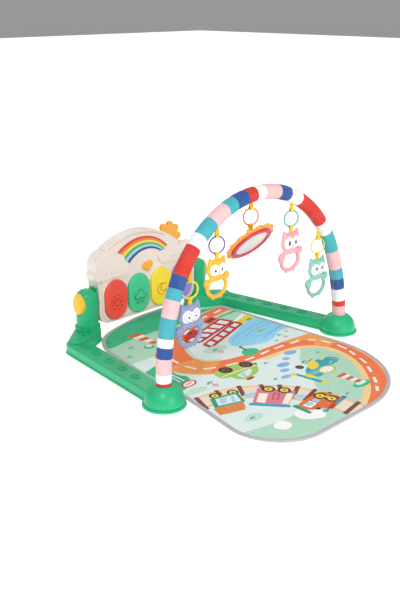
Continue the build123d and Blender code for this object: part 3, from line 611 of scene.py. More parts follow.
def build_sleeve():
    """Padded sleeve of sewn bands over the arch tube."""
    around = 56
    rows = sleeve_rows()
    points = []
    for at, to_seam, band in rows:
        middle, out = arch_station(at)
        for column in range(around):
            turn = 2 * math.pi * column / around
            radius = sleeve_radius(at, to_seam, turn)
            points.append(middle + (out * math.cos(turn) + ARCH_SIDE * math.sin(turn)) * radius)
    faces = row_faces(len(rows), around, False)
    outer_faces = len(faces)
    inner_steps = 90
    first = len(points)
    for step in range(inner_steps + 1):
        middle, out = arch_station(ARCH_LENGTH * step / inner_steps)
        for column in range(around):
            turn = 2 * math.pi * column / around
            points.append(middle + (out * math.cos(turn) + ARCH_SIDE * math.sin(turn)) * SLEEVE_BORE)
    faces += [tuple(reversed(face)) for face in row_faces(inner_steps + 1, around, False, first)]
    last_outer = (len(rows) - 1) * around
    last_inner = first + inner_steps * around
    for column in range(around):
        beside = (column + 1) % around
        faces.append((beside, column, first + column, first + beside))
        faces.append((last_outer + column, last_outer + beside, last_inner + beside, last_inner + column))
    sleeve = new_piece("padded_sleeve", points, faces, FINISHES["sleeve_fabric"])
    bands = [rows[index // around][2] for index in range(outer_faces)]
    bands += [0] * (len(faces) - outer_faces)
    paint(sleeve.data, [shade(BAND_DYES[BAND_CUTS[band][1]]) for band in bands])
    girth = 2 * math.pi * SLEEVE_RADIUS * MM / around

    def cloth_place(face, corner):
        row, column = divmod(face, around)
        up = corner in (2, 3)
        beside = corner in (1, 2)
        if face >= outer_faces:
            return (row * 0.003, (column + beside) * girth)
        return (rows[row + up][0] * MM, (column + beside) * girth)

    lay_cloth(sleeve.data, cloth_place)
    outwards(sleeve)
    sleeve.data.shade_smooth()
    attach(sleeve, "base")
    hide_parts("sleeve_left", "sleeve_top", "sleeve_right")


def sew_sleeve():
    """Double line of stitches along the inner side of the sleeve."""
    lines = []
    for side in (-0.12, 0.12):
        line = []
        for step in range(380):
            at = 14.0 + (ARCH_LENGTH - 28.0) * step / 379
            middle, out = arch_station(at)
            turn = math.pi + side
            line.append(middle + (out * math.cos(turn) + ARCH_SIDE * math.sin(turn)) * (SLEEVE_RADIUS + 0.35))
        lines.append(line)
    sew("sleeve_stitches", lines, "base", spacing=4.5, length=3.2, radius=0.35)


build_sleeve()
sew_sleeve()


# ---------------------------------------------------------------------------
# Play mat: printed padded field and its binding tape
# ---------------------------------------------------------------------------

MAT_CORNERS = (
    (266, 763, 270), (-345, 763, 125), (-268, 425, 200), (-251, 260, 400), (-206, 17, 160),
    (0, -40, 300), (164, -44.5, 35), (162, 38, 30), (243, 70, 25),
)
MAT_TOP = 5.0
BINDING_WIDTH = 10.0
INKS = {
    "pale": "E2F2EE", "mid": "B4DFC6", "green": "2FC08A", "road": "F9783F", "patch": "FBA24E",
    "peach": "FDD391", "sand": "DFDDB6", "cream": "FDF3E2", "white": "FFFFFF", "lake": "94DCFD",
    "ripple": "6CB8EE", "red": "C6222B", "brown": "7B4431", "dark": "3B2620", "leaf": "4FAE8C",
    "petal": "EBA6BB", "lime": "A6CE55", "pane": "DCF0F8", "stone": "82B9E8", "teal": "1FA9BF",
    "yellow": "F4DC33", "wood": "E28B3F", "track": "F4C08C", "bed": "F1E2CB", "rose": "DB7C90",
    "engine": "E96F2C", "stripe": "D9682C", "moss": "C5E5D1", "pine": "2F9B74", "sky": "A6D7EC",
    "olive": "A59A3C",
}


def blob(*points, steps=6):
    """Smooth closed shape."""
    return [tuple(p) for p in smooth_ring([(*p, 0) for p in points], steps)]


def poly(*points):
    """Straight-sided shape."""
    return [(*p, 0) for p in points]


def oval(x, down, wide, tall, turn=0.0, steps=24):
    """Ellipse with half sizes, turned by degrees."""
    c, s = math.cos(math.radians(turn)), math.sin(math.radians(turn))
    line = []
    for step in range(steps):
        a = 2 * math.pi * step / steps
        u, v = wide * math.cos(a), tall * math.sin(a)
        line.append((x + u * c - v * s, down + u * s + v * c, 0))
    return line


def stroke(points, width, steps=5):
    """Band of even width along a smooth open line."""
    line = smooth_run([(*p, 0) for p in points], steps)
    left, right = [], []
    for i, point in enumerate(line):
        run = line[min(i + 1, len(line) - 1)] - line[max(i - 1, 0)]
        side = Vector((-run.y, run.x, 0)).normalized() * width / 2
        left.append(tuple(point + side))
        right.append(tuple(point - side))
    return left + right[::-1]


def leaf(x, down, size=1.0):
    """Small two-part leaf mark."""
    return [
        ("leaf", stroke([(x - 7 * size, down + 3 * size), (x, down - 3 * size), (x + 8 * size, down - 1 * size)],
                        4 * size, 3)),
        ("leaf", stroke([(x, down - 2 * size), (x + 1 * size, down + 7 * size)], 2.6 * size, 2)),
    ]


def flower(x, down, size=1.0):
    """Small pink flower of four petals."""
    return [("petal", oval(x + dx * size, down + dd * size, 4.2 * size, 4.2 * size, 0, 10))
            for dx, dd in ((-4, 0), (4, 0), (0, -4), (0, 5))]


def wheel(x, down, radius, tyre="dark", hub="yellow"):
    """Wheel with a hub and its axle."""
    return [(tyre, oval(x, down, radius, radius)), (hub, oval(x, down, radius * 0.62, radius * 0.62)),
            (tyre, oval(x, down, radius * 0.22, radius * 0.22, 0, 10))]


def between(a, b, share):
    """Point between two points."""
    return (a[0] + (b[0] - a[0]) * share, a[1] + (b[1] - a[1]) * share)


def ladder(upper, lower, rungs):
    """Red ladder between an upper and a lower rail, with pale openings."""
    shapes = [("white", poly(upper[0], upper[1], lower[1], lower[0]))]
    for i in range(rungs):
        share = (i + 0.5) / rungs
        middle_top, middle_low = between(*upper, share), between(*lower, share)
        spot = between(middle_top, middle_low, 0.5)
        shapes.append(("pane", oval(spot[0], spot[1], 13, 9, -16)))
    for i in range(rungs + 1):
        share = i / rungs
        shapes.append(("red", stroke([between(*upper, share), between(*lower, share)], 13, 2)))
    shapes.append(("red", stroke(list(upper), 8, 2)))
    shapes.append(("red", stroke(list(lower), 9, 2)))
    return shapes


def wind_sock(x, down, top_half, low_half, height, stripes, base):
    """Tapered sock of orange and cream stripes on a green tuft."""
    shapes = [("green", oval(x + base[0], down + height + base[1], base[2], base[3])),
              ("pale", oval(x + base[0] + 4, down + height + base[1] - 5, base[2] * 0.62, base[3] * 0.6))]
    for i in range(stripes):
        a, b = i / stripes, (i + 1) / stripes
        wide_a = top_half + (low_half - top_half) * a
        wide_b = top_half + (low_half - top_half) * b
        ink_and_shade = "stripe" if i % 2 == 0 else "cream"
        shapes.append((ink_and_shade, poly((x - wide_a, down + height * a), (x + wide_a, down + height * a),
                                 (x + wide_b, down + height * b), (x - wide_b, down + height * b))))
    return shapes


ROAD_OUTER = (
    (245, 70), (190, 76), (120, 88), (60, 108), (0, 139), (-60, 165), (-110, 186), (-150, 207), (-170, 240),
    (-181, 275), (-187, 305), (-181, 335), (-162, 365), (-136, 388), (-100, 398), (-40, 403), (20, 410),
    (80, 414), (130, 421), (162, 434), (186, 454), (199, 480), (203, 512), (195, 552), (175, 598),
    (143, 641), (100, 684), (50, 722), (-10, 752),
)
ROAD_INNER = (
    (-20, 775), (60, 748), (104, 727), (152, 693), (194, 645), (222, 596), (238, 545), (246, 500), (252, 450),
    (256, 395), (235, 391), (180, 384), (120, 380), (60, 376), (0, 368), (-60, 352), (-93, 330),
    (-101, 300), (-93, 270), (-78, 240), (-60, 212), (-38, 190), (0, 168), (50, 148), (100, 130), (150, 118),
    (200, 112), (245, 107),
)
RAIL_LEFT = ((-292, 458), (-215, 465), (-150, 488), (-92, 530), (-55, 578), (-33, 640), (-25, 700), (-22, 775))
RAIL_RIGHT = ((-300, 511), (-250, 510), (-172, 541), (-122, 590), (-95, 642), (-80, 700), (-76, 775))


def ground_shapes():
    """Fields of colour, lake, road and its markings."""
    shapes = [
        ("mid", poly((-260, 60), (260, 60), (260, 160), (170, 186), (60, 214), (-232, 210), (-262, 205))),
        ("green", blob((-204, 92), (-190, 40), (-150, 0), (-60, -60), (150, -70), (250, 30), (262, 66), (160, 72),
                       (60, 92), (-60, 86), (-140, 87))),
        ("green", poly((156, 121), (262, 114), (262, 131), (160, 136))),
        ("white", stroke([(172, 187), (262, 148)], 9, 2)),
        ("yellow", blob((170, 192), (205, 181), (262, 172), (262, 208), (205, 210), (176, 211))),
        ("olive", oval(210, 203, 13, 6, -20)), ("brown", oval(216, 208, 6, 3, -20)),
        ("green", blob((-262, 280), (-225, 266), (-192, 262), (-188, 300), (-196, 335), (-188, 362), (-204, 388),
                       (-238, 408), (-290, 400), (-300, 330))),
        ("white", stroke([(-206, 325), (-209, 372)], 4)), ("white", stroke([(-214, 320), (-222, 372)], 3)),
        ("lake", blob((34, 312), (40, 286), (62, 264), (105, 248), (150, 226), (182, 213), (235, 204), (285, 200),
                      (285, 320), (206, 321), (172, 334), (140, 348), (100, 348), (62, 332))),
        ("mid", blob((160, 432), (118, 460), (82, 488), (66, 520), (40, 560), (-8, 604), (-30, 640), (-20, 700),
                     (-22, 790), (120, 790), (270, 600), (230, 470))),
        ("mid", blob((-340, 652), (-250, 660), (-190, 670), (-140, 668), (-104, 680), (-76, 704), (-70, 800),
                     (-340, 800))),
    ]
    for points in (((58, 278), (120, 260), (190, 247), (260, 243)), ((96, 288), (150, 270), (260, 263)),
                   ((120, 302), (172, 312), (260, 288)), ((128, 326), (190, 310), (260, 296))):
        shapes.append(("ripple", stroke(points, 2.6)))
    shapes.append(("lime", oval(166, 285, 16, 6, -8)))
    road = smooth_run([(*p, 0) for p in ROAD_OUTER], 4) + smooth_run([(*p, 0) for p in ROAD_INNER], 4)
    shapes += [
        ("sand", stroke(ROAD_INNER[15:28], 24, 4)),
        ("peach", stroke(ROAD_OUTER[16:], 34, 4)),
        ("peach", stroke(ROAD_INNER[:10], 30, 4)),
        ("peach", stroke(ROAD_OUTER[4:15], 9, 4)),
        ("road", [tuple(p) for p in road]),
        ("patch", blob((-186, 296), (-140, 292), (-101, 300), (-92, 332), (-66, 352), (-108, 372), (-140, 384),
                       (-168, 356), (-182, 332))),
        ("patch", blob((150, 383), (200, 387), (250, 393), (254, 430), (248, 476), (226, 482), (201, 482),
                       (186, 454), (205, 436), (196, 412), (156, 404))),
    ]
    dashes = (
        ((-141, 252), (-147, 288)), ((-148, 312), (-140, 344)), ((-128, 356), (-100, 372)), ((-74, 381), (-40, 390)),
        ((-16, 392), (16, 394)), ((40, 395), (74, 393)), ((94, 395), (128, 397)), ((150, 402), (182, 404)),
        ((202, 418), (216, 432)), ((224, 446), (228, 474)), ((229, 494), (224, 528)), ((218, 540), (206, 566)),
        ((197, 588), (182, 616)), ((166, 632), (146, 656)), ((124, 678), (102, 700)), ((86, 712), (66, 728)),
        ((176, 99), (212, 92)), ((120, 106), (146, 101)), ((60, 130), (86, 120)), ((0, 158), (30, 144)),
    )
    for dash in dashes:
        shapes.append(("white", stroke(dash, 7, 1)))
    for edge in (stroke(ROAD_OUTER, 1.6, 4), stroke(ROAD_INNER[10:], 1.6, 4)):
        shapes.append(("stripe", edge))
    return shapes


def scenery_shapes():
    """Ladders, truck, bush, stones, tufts and marks."""
    shapes = [
        ("red", poly((98, 130), (146, 115), (154, 136), (104, 152))),
        ("dark", poly((112, 133), (124, 129), (127, 137), (115, 141))),
        ("dark", poly((131, 128), (141, 125), (144, 133), (134, 136))),
        ("red", poly((-36, 180), (44, 146), (50, 170), (-30, 203))),
        ("dark", poly((8, 160), (22, 154), (26, 164), (12, 170))),
        ("wood", stroke([(-28, 206), (50, 176), (160, 138)], 6, 2)),
        ("wood", stroke([(-60, 190), (-20, 178)], 8, 2)),
    ]
    shapes += ladder(((-36, 198), (152, 146)), ((-10, 228), (164, 181)), 5)
    shapes += ladder(((-14, 246), (164, 189)), ((-12, 272), (168, 213)), 5)
    shapes += [
        ("moss", oval(-16, 289, 38, 20, 4)), *leaf(-20, 293, 1.3), *flower(-18, 311, 1.1),
        ("green", blob((8, 366), (16, 350), (36, 344), (56, 352), (62, 366), (50, 378), (30, 386), (14, 378))),
        ("dark", stroke([(40, 321), (37, 334), (36, 350)], 6)), ("dark", stroke([(34, 326), (46, 323)], 4, 1)),
        *leaf(176, 341, 1.1), *leaf(210, 337, 0.8), *flower(180, 360, 0.9), *leaf(140, 363, 0.9),
        *leaf(6, 441, 1.0), *leaf(-50, 519, 1.0), *leaf(4, 688, 1.0), *leaf(152, 489, 0.9),
        *leaf(-163, 129, 1.2), *leaf(-205, 171, 1.1), *leaf(-26, 62, 1.2),
        ("moss", oval(-228, 431, 32, 14, 6)), *leaf(-176, 424, 1.4), *flower(-175, 442, 1.1),
        ("moss", oval(-235, 615, 25, 16, -4)), *leaf(-241, 616, 1.0),
        ("red", oval(-213, 392, 24, 15, -12)), ("cream", oval(-213, 392, 19, 10.5, -12)),
        ("red", stroke([(-224, 394), (-202, 389)], 3, 1)),
    ]
    for x, down, wide, tall in ((102, 440, 20, 12), (63, 458, 11, 8), (28, 478, 20, 11), (5, 502, 14, 9),
                                (-22, 528, 16, 8)):
        shapes.append(("stone", oval(x, down, wide, tall, 4)))
    shapes += wind_sock(-98, 62, 21, 9, 88, 5, (-27, 6, 15, 13))
    shapes += wind_sock(79, 612, 16, 9, 58, 5, (-6, 9, 29, 14))
    return shapes


def car_shapes():
    """Small green car with two wheels."""
    body = blob((-137, 414), (-132, 396), (-112, 387), (-66, 388), (-20, 404), (-14, 422), (-24, 440), (-44, 460),
                (-70, 468), (-98, 469), (-114, 456), (-118, 437), (-134, 430))
    return [
        ("lime", body), ("cream", stroke([(-130, 421), (-70, 425), (-20, 431)], 4)),
        ("pane", poly((-98, 439), (-46, 434), (-50, 446), (-72, 459), (-98, 459))),
        ("sky", poly((-90, 443), (-72, 440), (-84, 456), (-94, 456))), ("pane", oval(-124, 440, 7, 6)),
        ("red", oval(-89, 474, 14, 6, -4)), ("red", oval(-14, 424, 4, 6)),
        *wheel(-95, 399, 18, "dark", "brown"), *wheel(-35, 411, 18, "dark", "brown"),
    ]


def plane_shapes():
    """Small teal plane with a propeller."""
    return [
        ("teal", poly((0, 536), (11, 534), (21, 606), (8, 607))), ("yellow", oval(2, 532, 8, 8)),
        ("yellow", oval(14, 614, 8, 8)), ("dark", oval(45, 516, 11, 11)), ("brown", oval(45, 516, 5, 5)),
        ("teal", blob((28, 552), (40, 538), (62, 528), (100, 517), (130, 520), (152, 530), (157, 548), (146, 558),
                      (120, 562), (90, 562), (64, 580), (36, 584), (26, 570))),
        ("teal", poly((68, 500), (104, 492), (108, 508), (70, 514))),
        ("pale", stroke([(72, 508), (106, 501)], 3, 1)),
        ("yellow", blob((56, 546), (62, 528), (74, 516), (98, 512), (99, 528), (88, 542), (70, 548))),
        ("lime", oval(82, 571, 28, 20, -6)), ("cream", oval(82, 571, 22, 15, -6)),
        ("yellow", oval(22, 566, 9, 16)), ("yellow", oval(127, 522, 9, 5, -8)), ("yellow", oval(96, 496, 10, 4, -10)),
        ("lime", stroke([(112, 556), (134, 546)], 5, 1)), ("lime", stroke([(144, 534), (150, 552)], 4, 1)),
        *[("pale", stroke([(36 + i * 9, 552 + i * 1), (42 + i * 9, 574 - i * 2)], 2, 1)) for i in range(3)],
    ]


def track_shapes():
    """Railway bed, rails and ties."""
    bed = smooth_run([(*p, 0) for p in RAIL_LEFT], 5) + smooth_run([(*p, 0) for p in RAIL_RIGHT[::-1]], 5)
    shapes = [("bed", [tuple(p) for p in bed]), ("track", stroke(RAIL_LEFT, 7)), ("track", stroke(RAIL_RIGHT, 7))]
    ties = (
        ((-254, 455), (-278, 516)), ((-196, 462), (-216, 520)), ((-140, 482), (-172, 528)),
        ((-98, 514), (-136, 566)), ((-68, 546), (-112, 590)), ((-44, 583), (-104, 614)), ((-28, 622), (-94, 641)),
        ((-18, 656), (-88, 670)), ((-12, 692), (-86, 706)), ((-12, 732), (-84, 744)),
    )
    for tie in ties:
        shapes.append(("brown", stroke(tie, 11, 1)))
    return shapes


def train_shapes():
    """Three wagons, their couplings and the smoke."""
    shapes = [
        ("sky", poly((-168, 523), (-138, 534), (-146, 548), (-176, 538))),
        ("sky", poly((-100, 612), (-82, 606), (-68, 628), (-88, 634))),
        ("yellow", stroke([(-228, 484), (-170, 502)], 8, 1)),
        *wheel(-218, 481, 14), *wheel(-176, 497, 14),
        ("pine", poly((-238, 484), (-168, 503), (-190, 549), (-264, 525))),
        ("pane", poly((-230, 493), (-178, 508), (-195, 541), (-250, 523))),
        ("sky", poly((-222, 500), (-204, 505), (-226, 524), (-240, 520))),
        ("sky", poly((-196, 508), (-188, 511), (-206, 534), (-214, 531))),
        ("wood", poly((-268, 524), (-194, 548), (-221, 577), (-280, 556))),
        *[("stripe", stroke([(-262 + i * 15, 528 + i * 5), (-268 + i * 14, 556 + i * 4)], 1.6, 1)) for i in range(5)],
        ("yellow", stroke([(-108, 548), (-80, 580)], 9, 1)),
        ("rose", poly((-186, 566), (-118, 522), (-68, 596), (-140, 632))),
        *wheel(-105, 544, 16), *wheel(-84, 574, 16),
        ("cream", poly((-176, 569), (-137, 543), (-124, 560), (-166, 586))),
        ("cream", poly((-142, 615), (-92, 588), (-84, 601), (-134, 627))),
        ("red", poly((-140, 584), (-112, 566), (-104, 578), (-132, 597))),
        ("rose", poly((-137, 585), (-114, 570), (-108, 578), (-131, 593))),
        ("teal", poly((-200, 568), (-190, 561), (-134, 633), (-144, 641))),
        ("white", blob((-168, 676), (-150, 660), (-124, 664), (-112, 684), (-104, 704), (-124, 722), (-146, 714),
                       (-166, 698))),
        ("white", blob((-242, 680), (-228, 666), (-208, 668), (-200, 684), (-208, 698), (-230, 700))),
        ("engine", blob((-126, 650), (-100, 640), (-36, 638), (-24, 662), (-26, 690), (-78, 706), (-98, 692),
                        (-122, 680))),
        *wheel(-50, 651, 16), *wheel(-43, 679, 16),
        ("yellow", stroke([(-44, 660), (-40, 676)], 8, 1)),
        ("white", poly((-117, 654), (-86, 650), (-86, 670), (-113, 674))),
        ("sky", oval(-100, 660, 11, 8)), ("sky", poly((-82, 652), (-68, 650), (-70, 668), (-82, 668))),
        ("pine", poly((-137, 638), (-122, 641), (-128, 690), (-139, 690))),
        ("red", stroke([(-92, 705), (-52, 696), (-24, 686)], 7)),
        ("dark", oval(-105, 688, 6, 5)), ("teal", oval(-101, 706, 9, 6)),
        ("teal", poly((-60, 700), (-20, 688), (-20, 696), (-58, 708))),
    ]
    return shapes


def mat_line(inset, pitch=7.0):
    """Outline of the mat moved inwards: straight edges joined by tangent arcs, in millimetres."""
    corners = [Vector((x, COLUMN_Y - down, 0)) for x, down, radius in MAT_CORNERS]
    bends = []
    for i, corner in enumerate(corners):
        radius = MAT_CORNERS[i][2]
        before = (corners[i - 1] - corner).normalized()
        after = (corners[(i + 1) % len(corners)] - corner).normalized()
        half = before.angle(after) / 2
        middle = corner + (before + after).normalized() * radius / math.sin(half)
        spoke = (corner + before * radius / math.tan(half) - middle) / radius
        hollow = before.cross(after).z < 0
        reach = radius + inset if hollow else radius - inset
        swing = math.pi - 2 * half
        steps = max(3, round(radius * swing / pitch))
        for step in range(steps + 1):
            turn = swing * step / steps
            bends.append(middle + (spoke * math.cos(turn) - before * math.sin(turn)) * reach)
    line = []
    for start, end in zip(bends, bends[1:] + bends[:1]):
        steps = max(1, round((end - start).length / pitch))
        line += [start.lerp(end, step / steps) for step in range(steps)]
    return line


def counter_clockwise(line):
    """Line of points turned so that it runs counter-clockwise."""
    area = sum(line[i - 1][0] * line[i][1] - line[i][0] * line[i - 1][1] for i in range(len(line)))
    return line if area > 0 else line[::-1]


def mat_height(x, y, to_edge):
    """Top of the padded mat: soft waves inside, pinched down at the tape."""
    wave = noise.noise(Vector((x / 75, y / 75, 3))) + 0.5 * noise.noise(Vector((x / 28, y / 28, 9)))
    crown = 1 - math.exp(-to_edge / 14)
    return MAT_TOP - 1.2 + 1.5 * crown + 0.55 * wave * crown


def build_mat():
    """Padded mat with its print as crisp fields of colour."""
    edge = mat_line(BINDING_WIDTH - 3.0)
    shapes = [("pale", [(p.x, COLUMN_Y - p.y, 0) for p in edge])]
    shapes += ground_shapes() + scenery_shapes() + car_shapes() + plane_shapes() + track_shapes() + train_shapes()
    spots, outlines = [], []
    for ink_and_shade, line in shapes:
        flat = counter_clockwise([(p[0], COLUMN_Y - p[1]) for p in line])
        first = len(spots)
        spots.extend(Vector(p) for p in flat)
        outlines.append(list(range(first, len(spots))))
    step = 8.0
    for i in range(76):
        for j in range(106):
            shift = 0.5 * step * (j % 2)
            spots.append(Vector((-318 + i * step + shift + 0.13, -414 + j * step + 0.07)))
    flat, edges, faces, old_verts, old_edges, sources = delaunay_2d_cdt(spots, [], outlines, 1, 0.02)
    kept = [(face, max(source)) for face, source in zip(faces, sources) if 0 in source]
    border = BVHTree.FromPolygons(
        [Vector((p.x, p.y, z)) for z in (-1, 1) for p in edge],
        [(i, (i + 1) % len(edge), len(edge) + (i + 1) % len(edge), len(edge) + i) for i in range(len(edge))],
    )
    used = sorted({v for face, top in kept for v in face})
    rank = {v: i for i, v in enumerate(used)}
    points = []
    for v in used:
        x, y = flat[v]
        to_edge = border.find_nearest(Vector((x, y, 0)))[3]
        points.append((x, y, mat_height(x, y, to_edge)))
    triangles = [tuple(rank[v] for v in face) for face, top in kept]
    tones = [shade(INKS[shapes[top][0]]) for face, top in kept]
    mat = new_piece("printed_mat", points, triangles, FINISHES["mat_fabric"])
    paint(mat.data, tones)
    shape = bmesh.new()
    shape.from_mesh(mat.data)
    rim = [e for e in shape.edges if e.is_boundary]
    wall = bmesh.ops.extrude_edge_only(shape, edges=rim)["geom"]
    for item in wall:
        if isinstance(item, bmesh.types.BMVert):
            item.co.z = 0.6 * MM
    low = [item for item in wall if isinstance(item, bmesh.types.BMEdge) and item.is_boundary]
    bmesh.ops.triangle_fill(shape, edges=low, use_dissolve=False)
    bmesh.ops.recalc_face_normals(shape, faces=shape.faces)
    shape.to_mesh(mat.data)
    shape.free()
    mat.data.shade_smooth()
    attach(mat, "base")
    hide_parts("play_mat")


def build_binding():
    """Grey tape folded round the edge of the mat, with a line of stitches."""
    profile = (
        (0.2, 1.4), (0.0, 3.0), (0.5, 4.8), (2.0, 5.9), (4.5, 6.1), (7.5, 5.7), (9.4, 5.1), (10.2, 4.2),
        (10.0, 2.8), (9.4, 1.2), (7.0, 0.3), (3.5, 0.2), (1.2, 0.5),
    )
    line = mat_line(0.0)
    count = len(line)
    points = []
    lengths = [0.0]
    for i, point in enumerate(line):
        run = (line[(i + 1) % count] - line[i - 1]).normalized()
        inwards = Vector((run.y, -run.x, 0))
        pull = 0.25 * noise.noise(Vector((point.x / 9, point.y / 9, 0)))
        for across, up in profile:
            points.append(point + inwards * across + Vector((0, 0, up + pull * (up > 2))))
        lengths.append(lengths[-1] + (line[(i + 1) % count] - point).length * MM)
    faces = row_faces(count, len(profile), True)
    tape = new_piece("binding_tape", points, faces, FINISHES["binding_fabric"])

    def cloth_place(face, corner):
        row, column = divmod(face, len(profile))
        return (lengths[row + (corner in (2, 3))], (column + (corner in (1, 2))) * 0.0019)

    lay_cloth(tape.data, cloth_place)
    outwards(tape)
    tape.data.shade_smooth()
    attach(tape, "base")
    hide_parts("mat_binding")
    seam = [p + Vector((0, 0, 5.75)) for p in mat_line(7.8)]
    sew("binding_stitches", [seam], "base", spacing=4.6, length=3.2, radius=0.4, closed=True)


build_mat()
build_binding()


# ---------------------------------------------------------------------------
# Webbing loops and tails
# ---------------------------------------------------------------------------

WIRE = Vector((math.cos(RING_TURN), -math.sin(RING_TURN), 0))
THROUGH = Vector((math.sin(RING_TURN), math.cos(RING_TURN), 0))
WEB_HALF = 5.0
WEB_THICK = 1.2


def sleeve_underside(x):
    """Height of the inner face of the sleeve."""
    radius = TOP_RADIUS - SLEEVE_RADIUS
    return ARCH_START_Z + TOP_CENTER + math.sqrt(radius ** 2 - x ** 2)


def toy_place(name):
    """Centre of a toy's ring."""
    x, z, size = TOYS[name]
    y = DOME_Y + ARCH_LEAN * (sleeve_underside(x) - ARCH_START_Z)
    return Vector((x, y, z))


def fold_line(reach):
    """Middle line of a strap folded round the ring wire, as (through, up) pairs."""
    way = 1 if reach > 0 else -1
    reach = abs(reach)
    line = [(-0.75, reach), (-0.75, reach * 0.7), (-0.85, reach * 0.5), (-2.0, 5.0), (-3.2, 2.2)]
    line += [(-3.5 * math.cos(a), -3.5 * math.sin(a)) for a in [math.pi * i / 8 for i in range(9)]]
    line += [(3.2, 2.2), (2.0, 5.0), (0.85, reach * 0.5), (0.75, reach * 0.7), (0.75, reach)]
    return [(through, up * way) for through, up in line]


def strap(spot, reach):
    """Points, faces and cloth places of one folded strap."""
    line = smooth_run([(a, b, 0) for a, b in fold_line(reach)], 4)
    section = []
    for corner in range(16):
        turn = 2 * math.pi * corner / 16
        c, s = math.cos(turn), math.sin(turn)
        section.append((math.copysign(abs(c) ** 0.35, c) * WEB_HALF, math.copysign(abs(s) ** 0.6, s) * WEB_THICK / 2))
    points, places = [], []
    length = 0.0
    for i, point in enumerate(line):
        run = (line[min(i + 1, len(line) - 1)] - line[max(i - 1, 0)]).normalized()
        out = THROUGH * -run.y + Vector((0, 0, run.x))
        middle = spot + THROUGH * point.x + Vector((0, 0, point.y))
        if i:
            length += (line[i] - line[i - 1]).length * MM
        for across, thick in section:
            points.append(middle + WIRE * across + out * thick)
            places.append((length, across * MM))
    faces = row_faces(len(line), 16, False)
    faces.append(tuple(range(15, -1, -1)))
    faces.append(tuple(range(len(points) - 16, len(points))))
    return points, faces, places


def build_webs(name, straps, body, node):
    """One piece from several straps, with two rows of stitches across each layer of each strap."""
    points, faces, places, rows = [], [], [], []
    for spot, reach in straps:
        made, joined, laid = strap(spot, reach)
        faces += [tuple(len(points) + v for v in face) for face in joined]
        points += made
        places += laid
        for up in (0.45, 0.62):
            for side in (-1, 1):
                start = spot + THROUGH * side * 1.55 + Vector((0, 0, reach * up))
                rows.append([start - WIRE * 4.0, start + WIRE * 4.0])
    web = new_piece(name, points, faces, FINISHES["web_fabric"])
    corners = [face.vertices[:] for face in web.data.polygons]
    lay_cloth(web.data, lambda face, corner: places[corners[face][corner]])
    outwards(web)
    web.data.shade_smooth()
    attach(web, body)
    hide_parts(node)
    sew(name + "_stitches", rows, body, spacing=1.6, length=1.2, radius=0.28, thread=GOLD_THREAD)


def build_all_webs():
    """Loops under the sleeve and tails above the toys."""
    loops = []
    for name, (x, z, size) in TOYS.items():
        middle = toy_place(name)
        loops.append((middle + Vector((0, 0, RING_MAJOR)), sleeve_underside(x) - z - RING_MAJOR + 6.0))
        foot = middle - Vector((0, 0, RING_MAJOR))
        build_webs("tail_web_" + name, [(foot, -17.0)], "toy_" + name, "tail_" + name)
    build_webs("arch_webs", loops, "base", "arch_loops")


build_all_webs()


# ---------------------------------------------------------------------------
# Owl toys
# ---------------------------------------------------------------------------

OWL_WINGS = {
    "blue": ((-35, -72, 14), (34, -64, 11)),
    "yellow": ((-34, -72, 12), (36, -62, 10)),
    "pink": ((-33, -76, 13), (37, -66, 10)),
    "mint": ((-34, -76, 13), (37, -66, 10)),
}
BEAN = ((0, 9), (7, 13), (15, 14), (23, 9), (26, 0), (22, -9), (13, -12.5), (5, -10.5), (0, -13), (-5, -10.5),
        (-13, -12.5), (-22, -9), (-26, 0), (-23, 9), (-15, 14), (-7, 13))


def ball(shape, middle, radii, around=20, rings=12):
    """Ellipsoid added to a bmesh."""
    place = Matrix.Translation(Vector(middle) * MM) @ Matrix.Diagonal((*[r * MM for r in radii], 1))
    bmesh.ops.create_uvsphere(shape, u_segments=around, v_segments=rings, radius=1.0, matrix=place)


def owl_body(name, hang, size):
    """Smooth owl rattle: pointed ears, round cheeks, wing knobs and a ring handle."""
    shape = bmesh.new()
    depth = hang.y

    def at(x, z, y=0.0):
        return (hang.x + x * size, depth + y * size, hang.z + z * size)

    ball(shape, at(0, -40), (35 * size, 8.6 * size, 25 * size), 32, 20)
    ball(shape, at(0, -25), (27 * size, 7.4 * size, 12 * size), 24, 14)
    for side in (-1, 1):
        for step in range(9):
            t = step / 8
            radius = 12.0 * (1 - t) + 2.4 * t
            ball(shape, at(side * (19 + 6.5 * t), -25 + 15 * t),
                 (radius * size, (6.6 - 3.6 * t) * size, radius * size))
    ball(shape, at(0, -63), (30 * size, 6.6 * size, 8.5 * size), 24, 12)
    for x, z, radius in OWL_WINGS[name]:
        ball(shape, at(x, z), (radius * 0.86 * size, 7.0 * size, radius * size))
    steps = 84
    for step in range(steps):
        turn = 2 * math.pi * step / steps
        ball(shape, at(33 * math.cos(turn), -86 + 25.5 * math.sin(turn)), [5.2 * size] * 3, 12, 8)
    for x, z in ((-13, -114.5), (15, -113.5)):
        ball(shape, at(x, z), (4.6 * size, 4.2 * size, 4.6 * size), 14, 8)
    mesh = bpy.data.meshes.new("owl_body_" + name)
    shape.to_mesh(mesh)
    shape.free()
    mesh.materials.append(FINISHES["owl_" + name])
    body = bpy.data.objects.new("owl_body_" + name, mesh)
    bpy.context.scene.collection.objects.link(body)
    skin = body.modifiers.new("skin", "REMESH")
    skin.mode = "VOXEL"
    skin.voxel_size = (0.0011)
    skin.use_smooth_shade = True
    ease = body.modifiers.new("ease", "SMOOTH")
    ease.factor = 0.5
    ease.iterations = 9
    applied(body)
    body.data.shade_smooth()
    return body


